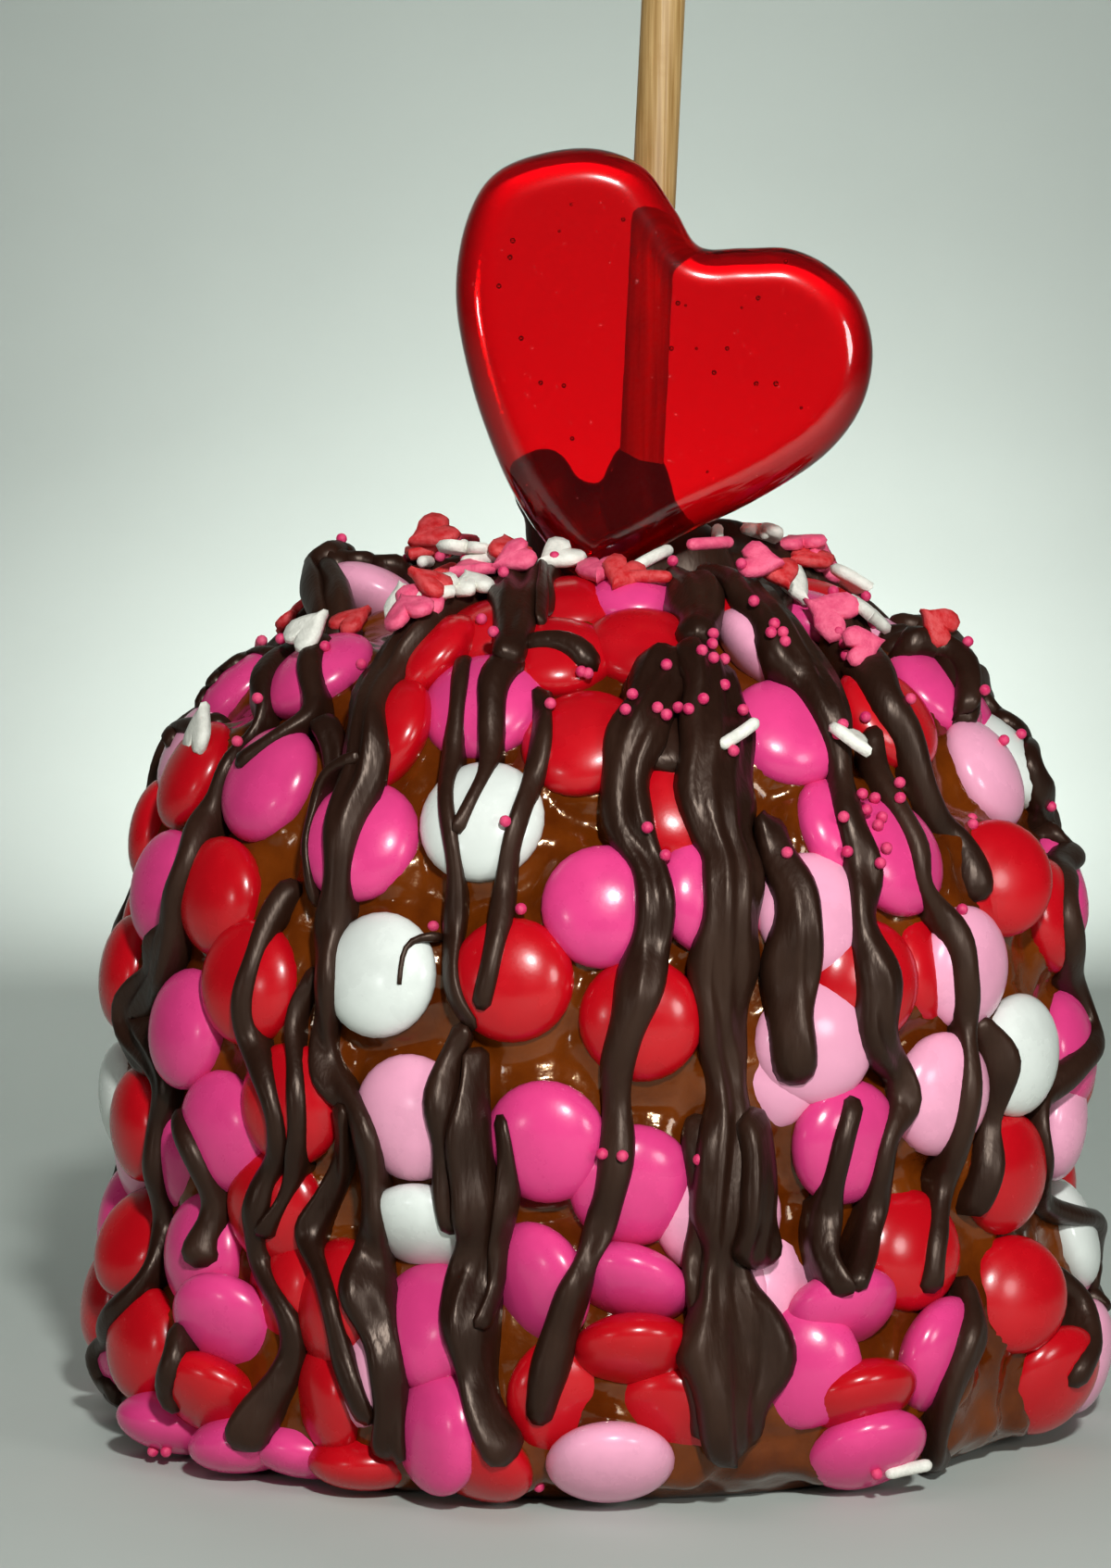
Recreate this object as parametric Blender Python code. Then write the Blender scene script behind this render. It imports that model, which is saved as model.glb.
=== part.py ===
"""A caramel apple rolled in candy-coated lentils, drizzled with dark chocolate, with a clear red
candy heart and a bamboo stick in its top.

Metres, +Z up, front towards -Y. The origin is the middle of the flat foot that the apple rests on.

The front is laid out on an upright board that faces a standing eye, as a decorator sees it: a row
of the layout gives board millimetres, right and up from the board's middle, and a sight line
through that spot finds the place on the apple. The back is filled by the same spacing rule.
"""

import math

import bmesh
import bpy
import numpy as np
from mathutils import Matrix, Vector

MM = 0.001

# The eye and its board, in millimetres.
EYE = np.array((-4.7, -500.0, 108.0))
BOARD_DISTANCE = 480.0
BOARD_TILT = math.radians(4.29)

# The apple under its caramel, in millimetres.
CORE_RADIUS = 52.2
CORE_TOP = 92.0
SHOULDER_HEIGHT = 35.0
SHOULDER_POWER = 2.6
FOOT_FLARE, FOOT_HEIGHT, FOOT_SPREAD = 1.8, 9.0, 9.0
WAIST_DEPTH, WAIST_HEIGHT, WAIST_SPREAD = 1.4, 28.0, 8.0
SOLE_ROUNDING = 5.0
CORE_LEVELS = (0.0, 3.0, 14.0, 28.0, 44.0, 60.0, 73.0, 82.5, 89.5)
CORE_SIDES = 20

# One candy, its place on the caramel and the spacing of the fill.
CANDY_RADIUS = 6.55
CANDY_HALF_THICKNESS = 3.3
CANDY_RISE = 1.3
CANDY_SIDES = 7
STEEP_CANDY = math.cos(math.radians(24))
FILL_SPACINGS = (12.9, 12.0)
FILL_TRIES = 6000
FILL_TURN = 9.0
FILL_SIDES = 6
FACING_EYE = 0.30
SOLE_CLEARANCE = 0.4
SEED = 14

# The drizzle.
DRIZZLE_SINK = 0.9
DRIZZLE_RISE = 0.44
DRIZZLE_THICKEST = 3.1
DRIZZLE_STEP = 9.0
BACK_STRANDS = 3

# The flat sugar hearts scattered round the top, the largest of the sprinkles.
CONFETTI_WIDTH = 5.2
CONFETTI_THICKNESS = 1.7
CONFETTI_SINK = 0.5

# The chocolate mound that holds the stick and the heart: each lump's middle, radii and heights.
MOUND_LUMPS = (
    (4.6, 0.4, 10.5, 4.1, 108.5),
    (-4.8, -0.3, 8.5, 3.8, 103.5),
)
MOUND_SIDES = 8

# The stick, pushed in behind the heart.
STICK_DIAMETER = 5.0
STICK_LENGTH = 140.0
STICK_SHOWN = 76.0
STICK_FOOT = (4.2, 0.0)
STICK_LEAN = math.radians(2.7)
STICK_SIDES = 20

# The candy heart.
HEART_MIDDLE_Y = -8.6
HEART_THICKNESS = 8.0
HEART_BEVEL = 2.8
GAP = 0.35

# Board millimetres of the middles of the candies that lie flat on the caramel.
FLAT_CANDIES = {
    "red": (
        (-0.2, 13.5), (-8, 15.7), (-38.8, 0.9), (-43, -5.1), (-36, -12.1), (-46, -20.3), (3, 4.4),
        (13.5, -3.3), (-4.7, -21.3), (9.2, -25.5), (-32.8, -21.6), (-28.4, -34.5), (-30, -45.8),
        (-44.3, -60.3), (-48.2, -55.3), (29.3, 19.2), (35.8, 6.7), (53.2, -14.3),
        (33, -21.5), (37.8, -50.3), (48.3, -42.1), (9.7, 14.4),
    ),
    "hot_pink": (
        (8.6, 19.5), (-25.5, 11.6), (-33.8, 9.7), (-30.9, -0.2), (-42, -11.5), (-21, -6.3),
        (-7.8, 8.2), (5.2, -13.2), (-39.6, -26.3), (-35.4, -37.5), (-1, -38.5), (8.3, -43.5),
        (-47.2, -46.5), (-37.8, -50.8), (25, 5.5), (40.8, 9.7), (36.2, -7.8), (55, -28.5),
        (31.2, -38.5),
    ),
    "pale_pink": (
        (-40.2, 4.6), (-15.5, -36), (17.5, -46.5), (46.3, 0.9), (27.8, -14),
        (44, -20.1), (27.8, -28), (41.5, -33.6), (54.2, -36.8), (59.5, -64.5),
    ),
    "white": (
        (-7.9, -4.2), (-18.9, -20.5), (49.5, 2.9), (49.8, -29.3), (-47.2, -34),
    ),
}

# Board millimetres of the tilted ones, then how far each is turned right and lifted, in degrees,
# and, where there is a fifth number, how far it is pressed into the caramel, in millimetres.
TILTED_CANDIES = {
    "red": (
        (-13.4, 12.9, -35, 0), (-18.2, 4.9, -30, 0), (-23.5, -56, -30, 0), (-37, -66.1, 10, 40),
        (-20.2, -76.3, 0, 30), (-8.8, -75, -20, 20), (1.2, -65.9, 30, 20, 2.4), (8.6, -61.3, 0, 65),
        (18.5, 17.2, 20, -10), (47.7, -10.2, -30, 0), (49.5, -55.1, -28, 0), (32.5, -66.1, 0, 60),
        (53.3, -64.5, -20, 20), (12.8, -68.1, -20, 30, 2.2),
    ),
    "hot_pink": (
        (16.8, -12.1, 20, 0), (-1.8, -54, -43, 25), (8, -54, -37, 50), (-13.8, -58.5, -20, 0),
        (-12.6, -69.8, -42, 0), (-35.3, -58.5, 25, 40), (-41, -70, 0, 40), (-33, -73.1, 20, 45),
        (30.5, -57, 0, 60), (41.2, -61.5, 20, 20), (33.5, -71.9, 0, 45), (26.2, -62.8, -40, 0, 0.6),
    ),
    "pale_pink": ((5.9, -73, 0, 45), (-20.2, 21.7, -8, -38, -1.6)),
    "white": ((-13.8, -47.8, 0, 40),),
}

# Board millimetres of each strand's course from the top down, and its width there.
FRONT_STRANDS = {
    "left_edge": (
        (-26, 17, 4), (-34.5, 7, 3.5), (-38, -2, 3.6), (-44, -19, 4.6), (-45.8, -26, 5.8),
        (-43.7, -36, 3.6), (-43.7, -50, 3.2), (-50, -62, 3),
    ),
    "left_front": (
        (-3, 23, 3), (-16, 16, 5.6), (-20.2, 10, 6.4), (-21.5, 3, 5.6), (-24, -11, 3.8),
        (-24.9, -29, 3.2), (-21, -41, 3.4), (-19.5, -52, 3.8), (-18.3, -66, 3.6),
    ),
    "middle_left": (
        (-3.5, 20, 3), (-9.5, 11, 2.8), (-11.8, -2, 2.8), (-11.6, -18, 2.8), (-8.6, -28, 3.6),
        (-8, -42, 4), (-9.2, -55, 6), (-7.6, -66, 4.6),
    ),
    "middle": (
        (14.5, 22, 3.6), (13, 12, 4.5), (8.4, 4, 4.6), (10.7, -15, 4.8), (7, -32, 3.6),
        (5, -47, 3.4), (0, -60, 3.6), (-2.4, -69, 4),
    ),
    "broad": (
        (17.5, 14.7, 4), (18, 8, 7), (19.8, -8, 8.4), (18.1, -25, 6), (19.7, -41, 6.4),
        (18.8, -53, 6.4), (20, -62, 8.4), (20.2, -69, 8),
    ),
    "right_shoulder": (
        (17, 25.5, 4.4), (26.2, 16, 7.4), (30.8, 5, 4), (33.5, -7, 3.4), (35.8, -22, 4.8),
        (38, -35, 3.8), (35, -47, 3.2), (32, -55, 3.4),
    ),
    "right_edge": (
        (36, 20, 3.2), (45, 10.7, 3.2), (52.8, -1, 3.2), (56, -12, 3.6), (55.5, -28, 3.2),
        (54, -41, 3), (58.5, -53, 3.2), (60, -64, 3.2),
    ),
}

# Board millimetres of the largest sugar hearts' middles.
FRONT_CONFETTI = (
    (-13.6, 27.5), (-21, 18), (-5.2, 25), (6.9, 22.5), (26.5, 24.4), (41, 17), (22.7, 24.4),
    (33.4, 15), (-17.5, 20.5), (-26.6, 17), (-38.2, 6.2), (32, 4.2),
)

# Board millimetres of the heart's outline, from its notch round by the right lobe.
HEART_NOTCH = (15.5, 58.1)
HEART_OUTLINE = (
    (20.2, 57.9), (25.4, 57.8), (29.8, 55.7), (33.0, 52.0), (34.3, 46.5), (33.0, 40.6),
    (29.0, 35.4), (22.0, 30.8), (14.5, 27.2), (8.0, 23.6), (3.9, 21.8), (0.6, 23.9),
    (-3.2, 29.0), (-6.2, 34.8), (-9.2, 43.5), (-10.8, 53.0), (-9.4, 61.5), (-5.6, 66.6),
    (2.6, 68.7), (9.0, 67.0), (12.8, 62.2),
)


# ---------------------------------------------------------------- the apple's surface


def core_radius(z):
    """The caramel's radius at height z, in millimetres; 0 above its top."""
    z = np.asarray(z, float)
    climb = np.clip((z - SHOULDER_HEIGHT) / (CORE_TOP - SHOULDER_HEIGHT), 0.0, 1.0)
    dome = CORE_RADIUS * (1.0 - climb**SHOULDER_POWER) ** (1.0 / SHOULDER_POWER)
    foot = FOOT_FLARE * np.exp(-(((z - FOOT_HEIGHT) / FOOT_SPREAD) ** 2))
    waist = WAIST_DEPTH * np.exp(-(((z - WAIST_HEIGHT) / WAIST_SPREAD) ** 2))
    sole = SOLE_ROUNDING * np.clip(1.0 - z / SOLE_ROUNDING, 0.0, 1.0) ** 2
    return np.where(z > CORE_TOP, 0.0, dome + foot - waist - sole)


def profile(count=400):
    """The caramel's outline from its sole to its top: radius, height and outward normal by length."""
    angle = np.linspace(0.0, math.pi / 2, count)
    z = np.concatenate([np.linspace(0.0, SHOULDER_HEIGHT, count)[:-1],
                        SHOULDER_HEIGHT + (CORE_TOP - SHOULDER_HEIGHT) * np.sin(angle) ** 0.9])
    r = core_radius(z)
    r[-1] = 0.0
    run = np.concatenate([[0.0], np.cumsum(np.hypot(np.diff(r), np.diff(z)))])
    even = np.linspace(0.0, run[-1], count)
    r, z = np.interp(even, run, r), np.interp(even, run, z)
    along_r, along_z = np.gradient(r, even), np.gradient(z, even)
    size = np.hypot(along_r, along_z)
    return even, r, z, along_z / size, -along_r / size


RUN, RUN_R, RUN_Z, RUN_NR, RUN_NZ = profile()


def surface(azimuth, run):
    """Points on the caramel and the outward normals there. Azimuth 0 is the front."""
    radial = np.stack([np.sin(azimuth), -np.cos(azimuth), np.zeros_like(azimuth)], axis=-1)
    up = np.array((0.0, 0.0, 1.0))
    point = radial * np.interp(run, RUN, RUN_R)[..., None] + up * np.interp(run, RUN, RUN_Z)[..., None]
    normal = radial * np.interp(run, RUN, RUN_NR)[..., None] + up * np.interp(run, RUN, RUN_NZ)[..., None]
    return point, normal / np.linalg.norm(normal, axis=-1, keepdims=True)


def sight_line(u, v):
    ahead = np.array((0.0, math.cos(BOARD_TILT), -math.sin(BOARD_TILT)))
    above = np.array((0.0, math.sin(BOARD_TILT), math.cos(BOARD_TILT)))
    line = ahead * BOARD_DISTANCE + np.array((u, 0.0, 0.0)) + above * v
    return line / np.linalg.norm(line)


def seen_place(u, v, height):
    """Azimuth and run where the sight line through board spot (u, v) meets the surface that lies
    height above the caramel, or passes closest to it."""
    line = sight_line(u, v)
    walk = np.arange(420.0, 560.0, 0.25)
    points = EYE + walk[:, None] * line
    lifted_r, lifted_z = RUN_R + height * RUN_NR, RUN_Z + height * RUN_NZ
    clear = np.hypot(points[:, 0], points[:, 1]) - np.interp(points[:, 2], lifted_z, lifted_r, right=0.0)
    inside = np.flatnonzero((clear < 0.0) & (points[:, 2] < lifted_z[-1]))
    if len(inside):
        best = points[inside[0]]
    else:
        across = np.hypot(points[:, 0], points[:, 1])
        gap = np.hypot(across[:, None] - lifted_r[None, ::4], points[:, 2:3] - lifted_z[None, ::4])
        best = points[np.argmin(gap.min(axis=1))]
    across = math.hypot(best[0], best[1])
    nearest = np.argmin(np.hypot(across - lifted_r, best[2] - lifted_z))
    return math.atan2(best[0], -best[1]), RUN[nearest]


def turned_axis(azimuth, run, turn, lift):
    """The candy's axis: the surface normal turned right and lifted, in degrees."""
    _, normal = surface(np.array(azimuth), np.array(run))
    right = np.array((math.cos(azimuth), math.sin(azimuth), 0.0))
    over = np.cross(right, normal)
    axis = normal + math.tan(math.radians(turn)) * right
    axis = axis / np.linalg.norm(axis) + math.tan(math.radians(lift)) * over
    return axis / np.linalg.norm(axis)


# ---------------------------------------------------------------- the candies


def seated(point, normal, axis, size):
    """The middle of a candy pressed into the caramel, lifted where its rim would pass the sole."""
    middle = point + normal * CANDY_RISE
    reach = math.hypot(CANDY_RADIUS * math.sqrt(1.0 - axis[2] ** 2), CANDY_HALF_THICKNESS * axis[2])
    middle[2] = max(middle[2], size * reach + SOLE_CLEARANCE)
    return middle


def laid_candies():
    """(middle, axis, colour, size) of each candy of the front layout."""
    draw = np.random.default_rng(SEED)
    found = []
    for colour, flat in FLAT_CANDIES.items():
        for row in (*flat, *TILTED_CANDIES[colour]):
            u, v, turn, lift, press = (*row, 0, 0, 0)[:5]
            azimuth, run = seen_place(u, v, CANDY_RISE - press)
            point, normal = surface(np.array(azimuth), np.array(run))
            point = point - normal * press
            turn_by, lift_by, size = draw.normal(0.0, 4.0), draw.normal(0.0, 4.0), draw.uniform(0.97, 1.02)
            axis = turned_axis(azimuth, run, turn + turn_by, lift + lift_by)
            found.append((seated(point, normal, axis, size), axis, colour, size))
    return found


def clear_of_topping(middle):
    """Whether a candy there leaves the stick and the heart's tip their room."""
    from_stick = math.hypot(middle[0] - STICK_FOOT[0], middle[1] - STICK_FOOT[1])
    beside_heart = abs(middle[1] - HEART_MIDDLE_Y) > HEART_THICKNESS / 2 + CANDY_RADIUS
    return middle[2] < CORE_TOP - 5.0 or (from_stick > 9.5 and (beside_heart or abs(middle[0] - 4.0) > 15.0))


def fill_candies(laid):
    """The candies that the front layout doesn't reach, as close as the laid ones."""
    draw = np.random.default_rng(SEED + 1)
    found, taken = [], [c[0] for c in laid]
    for spacing in FILL_SPACINGS:
        for _ in range(FILL_TRIES):
            azimuth, run, share = draw.uniform(-math.pi, math.pi), draw.uniform(3.0, RUN[-1]), draw.uniform()
            turn, lift, size = draw.normal(0, FILL_TURN), draw.normal(0, FILL_TURN), draw.uniform(0.97, 1.02)
            colour = str(draw.choice(("red", "hot_pink", "pale_pink", "white"), p=(0.36, 0.36, 0.18, 0.10)))
            point, normal = surface(np.array(azimuth), np.array(run))
            if share * CORE_RADIUS > np.hypot(point[0], point[1]):
                continue
            axis = turned_axis(azimuth, run, turn, lift)
            middle = seated(point, normal, axis, size)
            to_eye = EYE - middle
            if normal @ to_eye > FACING_EYE * np.linalg.norm(to_eye) or not clear_of_topping(middle):
                continue
            if np.linalg.norm(np.array(taken) - middle, axis=1).min() < spacing:
                continue
            taken.append(middle)
            found.append((middle, axis, colour, size))
    return found


def candy_mesh(name, middle, axis, size, sides):
    """A faceted lentil. One that lies flat is straight-sided where the caramel holds it."""
    _, normal = surface(np.array(math.atan2(middle[0], -middle[1])),
                        np.array(np.interp(middle[2], RUN_Z, RUN)))
    if axis @ normal > STEEP_CANDY:
        rings, ends = ((1.04, -0.9), (0.86, 0.56)), (None, 1.0)
    else:
        rings, ends = ((0.80, -0.66), (1.0, 0.0), (0.80, 0.66)), (-1.0, 1.0)
    mesh = bmesh.new()
    rows = []
    for share, level in rings:
        rows.append([
            mesh.verts.new((share * CANDY_RADIUS * math.cos(math.tau * k / sides),
                            share * CANDY_RADIUS * math.sin(math.tau * k / sides),
                            level * CANDY_HALF_THICKNESS))
            for k in range(sides)
        ])
    for low, high in zip(rows, rows[1:]):
        for k in range(sides):
            n = (k + 1) % sides
            mesh.faces.new((low[k], low[n], high[n], high[k]))
    for end, row in ((ends[0], rows[0][::-1]), (ends[1], rows[-1])):
        if end is None:
            mesh.faces.new(row)
            continue
        pole = mesh.verts.new((0.0, 0.0, end * CANDY_HALF_THICKNESS))
        for k in range(sides):
            mesh.faces.new((row[k], row[(k + 1) % sides], pole))
    turn = Vector(axis).to_track_quat("Z", "Y").to_matrix().to_4x4() @ Matrix.Scale(size, 4)
    turn.translation = Vector(middle)
    mesh.transform(turn)
    return finish_mesh(name, mesh)


def candy_height(points, normals, candies):
    """How far the candies stand above each caramel point, along its normal."""
    height = np.zeros(len(points))
    for middle, axis, _, size in candies:
        near = np.flatnonzero(np.linalg.norm(points - middle, axis=1) < 11.0)
        if not len(near):
            continue
        start, way = points[near] - middle, normals[near]
        wide, thick = CANDY_RADIUS * size, CANDY_HALF_THICKNESS * size
        stretch = 1.0 / thick - 1.0 / wide
        start = start / wide + (start @ axis)[:, None] * axis * stretch
        way = way / wide + (way @ axis)[:, None] * axis * stretch
        a = (way * way).sum(axis=1)
        b = (start * way).sum(axis=1)
        rest = b * b - a * ((start * start).sum(axis=1) - 1.0)
        hit = rest > 0.0
        out = (-b[hit] + np.sqrt(rest[hit])) / a[hit]
        height[near[hit]] = np.maximum(height[near[hit]], out)
    return height


# ---------------------------------------------------------------- the drizzle


def smooth_course(knots, step):
    """A Catmull-Rom curve through rows of numbers, with a point about every step."""
    rows = np.array(knots, float)
    rows = np.vstack([2 * rows[0] - rows[1], rows, 2 * rows[-1] - rows[-2]])
    out = []
    for a, b, c, d in zip(rows, rows[1:], rows[2:], rows[3:]):
        parts = max(1, round(float(np.linalg.norm((c - b)[:2])) / step))
        for t in np.arange(parts) / parts:
            out.append(0.5 * (2 * b + (c - a) * t + (2 * a - 5 * b + 4 * c - d) * t**2
                              + (3 * b - a - 3 * c + d) * t**3))
    out.append(rows[-2])
    return np.array(out)


def front_strand(knots):
    """(azimuth, run, width) along a laid strand, a step apart on the apple."""
    course = smooth_course(knots, 2.0)
    places = np.array([(*seen_place(u, v, 4.0), width) for u, v, width in course])
    points, _ = surface(places[:, 0], places[:, 1])
    kept = [0]
    for k in range(1, len(points)):
        if np.linalg.norm(points[k] - points[kept[-1]]) >= DRIZZLE_STEP:
            kept.append(k)
    return places[kept]


def back_strands():
    """Strands that run down the side the layout doesn't reach."""
    draw = np.random.default_rng(SEED + 2)
    found = []
    for k in range(BACK_STRANDS):
        azimuth = math.radians(100.0 + 160.0 * (k + 0.5) / BACK_STRANDS + draw.uniform(-4, 4))
        last = draw.uniform(4.0, 26.0)
        run = np.arange(RUN[-1] - 9.0, last, -DRIZZLE_STEP)
        sway = draw.uniform(1.0, 2.6)
        course = azimuth + sway * np.sin(run / draw.uniform(8, 13) + draw.uniform(0, 6)) / CORE_RADIUS
        width = draw.uniform(3.0, 4.6) + 0.8 * np.sin(run / 7.0 + k)
        found.append(np.stack([course, run, width], axis=1))
    return found


def strand_mesh(name, places, candies):
    """A strand that bridges from candy to candy, with a flat crown and sides that slope under."""
    azimuth, run, width = places.T
    base, normal = surface(azimuth, run)
    along = np.gradient(base, axis=0)
    across = np.cross(normal, along)
    across /= np.linalg.norm(across, axis=1, keepdims=True)
    thick = np.minimum(DRIZZLE_RISE * width, DRIZZLE_THICKEST)
    shrink = np.ones(len(width))
    shrink[[0, -1]] = 0.5
    lanes, crowns = {}, {}
    for lane in (-0.45, 0.45, -1.0, 1.0):
        point = base + across * (lane * shrink * width / 2)[:, None]
        height = candy_height(point, normal, candies)
        if abs(lane) < 1.0:
            around = np.pad(height, 1, mode="edge")
            bridge = 0.5 * np.maximum(around[:-2], around[2:]) + 0.25 * height
            height = np.maximum(height, bridge) + thick * shrink
            crowns[math.copysign(1.0, lane)] = height
        else:
            height = np.minimum(height - DRIZZLE_SINK, crowns[lane] - 1.1 * thick)
        lanes[lane] = point + normal * height[:, None]
    mesh = bmesh.new()
    rings = [[mesh.verts.new(lanes[lane][i]) for lane in sorted(lanes)] for i in range(len(width))]
    for one, two in zip(rings, rings[1:]):
        for k in range(4):
            n = (k + 1) % 4
            mesh.faces.new((one[k], two[k], two[n], one[n]))
    mesh.faces.new(rings[0])
    mesh.faces.new(rings[-1][::-1])
    bmesh.ops.recalc_face_normals(mesh, faces=mesh.faces)
    bmesh.ops.triangulate(mesh, faces=mesh.faces)
    return finish_mesh(name, mesh)


def confetti_mesh(name, spot, candies, turn):
    """A flat sugar heart lying on what is below it."""
    azimuth, run = seen_place(*spot, 4.5)
    point, normal = surface(np.array(azimuth), np.array(run))
    height = candy_height(point[None], normal[None], candies)[0]
    outline = ((0.0, 0.22), (0.26, 0.48), (0.5, 0.2), (0.0, -0.5), (-0.5, 0.2), (-0.26, 0.48))
    mesh = bmesh.new()
    low, high = (
        [mesh.verts.new((CONFETTI_WIDTH * x, CONFETTI_WIDTH * y, z)) for x, y in outline]
        for z in (-CONFETTI_SINK, CONFETTI_THICKNESS - CONFETTI_SINK)
    )
    for k in range(len(outline)):
        n = (k + 1) % len(outline)
        mesh.faces.new((low[k], low[n], high[n], high[k]))
    mesh.faces.new(low)
    mesh.faces.new(high)
    bmesh.ops.recalc_face_normals(mesh, faces=mesh.faces)
    move = Vector(normal).to_track_quat("Z", "Y").to_matrix().to_4x4() @ Matrix.Rotation(turn, 4, "Z")
    move.translation = Vector(point + normal * height)
    mesh.transform(move)
    return finish_mesh(name, mesh)


# ---------------------------------------------------------------- making objects


def finish_mesh(name, mesh):
    """A bmesh in millimetres made into an object in metres."""
    for vert in mesh.verts:
        vert.co *= MM
    data = bpy.data.meshes.new(name)
    mesh.to_mesh(data)
    mesh.free()
    made = bpy.data.objects.new(name, data)
    bpy.context.scene.collection.objects.link(made)
    return made


def paint(made, name, colour, roughness, transmission=0.0):
    material = bpy.data.materials.new(name)
    material.use_nodes = True
    shader = material.node_tree.nodes["Principled BSDF"]
    shader.inputs["Base Color"].default_value = (*colour, 1.0)
    shader.inputs["Roughness"].default_value = roughness
    shader.inputs["Metallic"].default_value = 0.0
    shader.inputs["Transmission Weight"].default_value = transmission
    made.data.materials.clear()
    made.data.materials.append(material)


def caramel_core():
    """The caramel-dipped apple: a turned solid on a flat sole."""
    mesh = bmesh.new()
    rings = []
    for z in CORE_LEVELS:
        r = float(core_radius(z))
        rings.append([
            mesh.verts.new((r * math.sin(math.tau * k / CORE_SIDES),
                            -r * math.cos(math.tau * k / CORE_SIDES), z))
            for k in range(CORE_SIDES)
        ])
    for low, high in zip(rings, rings[1:]):
        for k in range(CORE_SIDES):
            n = (k + 1) % CORE_SIDES
            mesh.faces.new((low[k], low[n], high[n], high[k]))
    mesh.faces.new(rings[0][::-1])
    mesh.faces.new(rings[-1])
    return finish_mesh("coated_apple", mesh)


def mound_lump(name, x, y, radius, top_radius, top):
    """One lump of the chocolate mound round the stick."""
    mesh = bmesh.new()
    rings = []
    for r, z in ((radius, CORE_TOP - 3.0), (0.7 * radius, CORE_TOP + 3.5), (top_radius, top)):
        rings.append([
            mesh.verts.new((x + r * math.cos(math.tau * k / MOUND_SIDES),
                            y + r * math.sin(math.tau * k / MOUND_SIDES), z))
            for k in range(MOUND_SIDES)
        ])
    for low, high in zip(rings, rings[1:]):
        for k in range(MOUND_SIDES):
            n = (k + 1) % MOUND_SIDES
            mesh.faces.new((low[k], low[n], high[n], high[k]))
    mesh.faces.new(rings[0][::-1])
    mesh.faces.new(rings[-1])
    return finish_mesh(name, mesh)


def prism(name, rows):
    """Closed rows of points in upright planes, each row with its own y, bridged and capped."""
    mesh = bmesh.new()
    rings = []
    for ring_points, y in rows:
        rings.append([mesh.verts.new((x, y, z)) for x, z in ring_points])
    count = len(rings[0])
    for one, two in zip(rings, rings[1:]):
        for k in range(count):
            n = (k + 1) % count
            mesh.faces.new((one[k], one[n], two[n], two[k]))
    mesh.faces.new(rings[0])
    mesh.faces.new(rings[-1])
    bmesh.ops.recalc_face_normals(mesh, faces=mesh.faces)
    return finish_mesh(name, mesh)


def heart_points():
    """The heart's outline in its own upright plane, in millimetres."""
    found = []
    for u, v in (HEART_NOTCH, *HEART_OUTLINE):
        line = sight_line(u, v)
        found.append(EYE + line * (HEART_MIDDLE_Y - EYE[1]) / line[1])
    return np.array(found)[:, [0, 2]]


def inset(points, distance):
    """The outline moved inwards along its corners' bisectors."""
    before, after = np.roll(points, 1, axis=0), np.roll(points, -1, axis=0)
    along = after - before
    along /= np.linalg.norm(along, axis=1, keepdims=True)
    return points + np.stack([along[:, 1], -along[:, 0]], axis=1) * distance


def candy_heart(grow, name):
    """The moulded heart, or, grown by a gap, the cutter of its pocket in the apple's top."""
    outline = inset(heart_points(), -grow)
    half = HEART_THICKNESS / 2 + grow
    bevel = HEART_BEVEL
    rows = [
        (inset(outline, bevel), HEART_MIDDLE_Y - half),
        (inset(outline, bevel * 0.30), HEART_MIDDLE_Y - half + bevel * 0.45),
        (outline, HEART_MIDDLE_Y - half + bevel),
        (outline, HEART_MIDDLE_Y + half - bevel),
        (inset(outline, bevel * 0.30), HEART_MIDDLE_Y + half - bevel * 0.45),
        (inset(outline, bevel), HEART_MIDDLE_Y + half),
    ]
    return prism(name, rows)


def stick(grow, name):
    """The bamboo stick, or, grown by a gap, the cutter of its hole."""
    lean = Vector((math.sin(STICK_LEAN), 0.0, math.cos(STICK_LEAN)))
    hidden = STICK_LENGTH - STICK_SHOWN
    foot = Vector((STICK_FOOT[0], STICK_FOOT[1], CORE_TOP)) - lean * (hidden + grow)
    radius = STICK_DIAMETER / 2 + grow
    chamfer = 0.0 if grow else 0.4
    levels = ((radius - chamfer, 0.0), (radius, chamfer), (radius, STICK_LENGTH - chamfer),
              (radius - chamfer, STICK_LENGTH))
    mesh = bmesh.new()
    across, deep = Vector((lean.z, 0.0, -lean.x)), Vector((0.0, 1.0, 0.0))
    rings = []
    for r, along in levels if chamfer else levels[1:3]:
        rings.append([
            mesh.verts.new(foot + lean * along + r * (across * math.cos(math.tau * k / STICK_SIDES)
                                                      + deep * math.sin(math.tau * k / STICK_SIDES)))
            for k in range(STICK_SIDES)
        ])
    for low, high in zip(rings, rings[1:]):
        for k in range(STICK_SIDES):
            n = (k + 1) % STICK_SIDES
            mesh.faces.new((low[k], low[n], high[n], high[k]))
    mesh.faces.new(rings[0][::-1])
    mesh.faces.new(rings[-1])
    return finish_mesh(name, mesh)


def apply_boolean(made, operation, collection=None, other=None):
    modifier = made.modifiers.new(operation, "BOOLEAN")
    modifier.operation, modifier.solver = operation, "MANIFOLD"
    if collection:
        modifier.operand_type, modifier.collection = "COLLECTION", collection
    else:
        modifier.object = other
    bpy.context.view_layer.objects.active = made
    bpy.ops.object.modifier_apply(modifier=modifier.name)


def fuse(made, pieces):
    """Joins the pieces into made by one union, then keeps the outer skin alone."""
    group = bpy.data.collections.new("fused")
    bpy.context.scene.collection.children.link(group)
    for piece in pieces:
        bpy.context.scene.collection.objects.unlink(piece)
        group.objects.link(piece)
    apply_boolean(made, "UNION", collection=group)
    for piece in pieces:
        bpy.data.objects.remove(piece)
    bpy.data.collections.remove(group)


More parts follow.
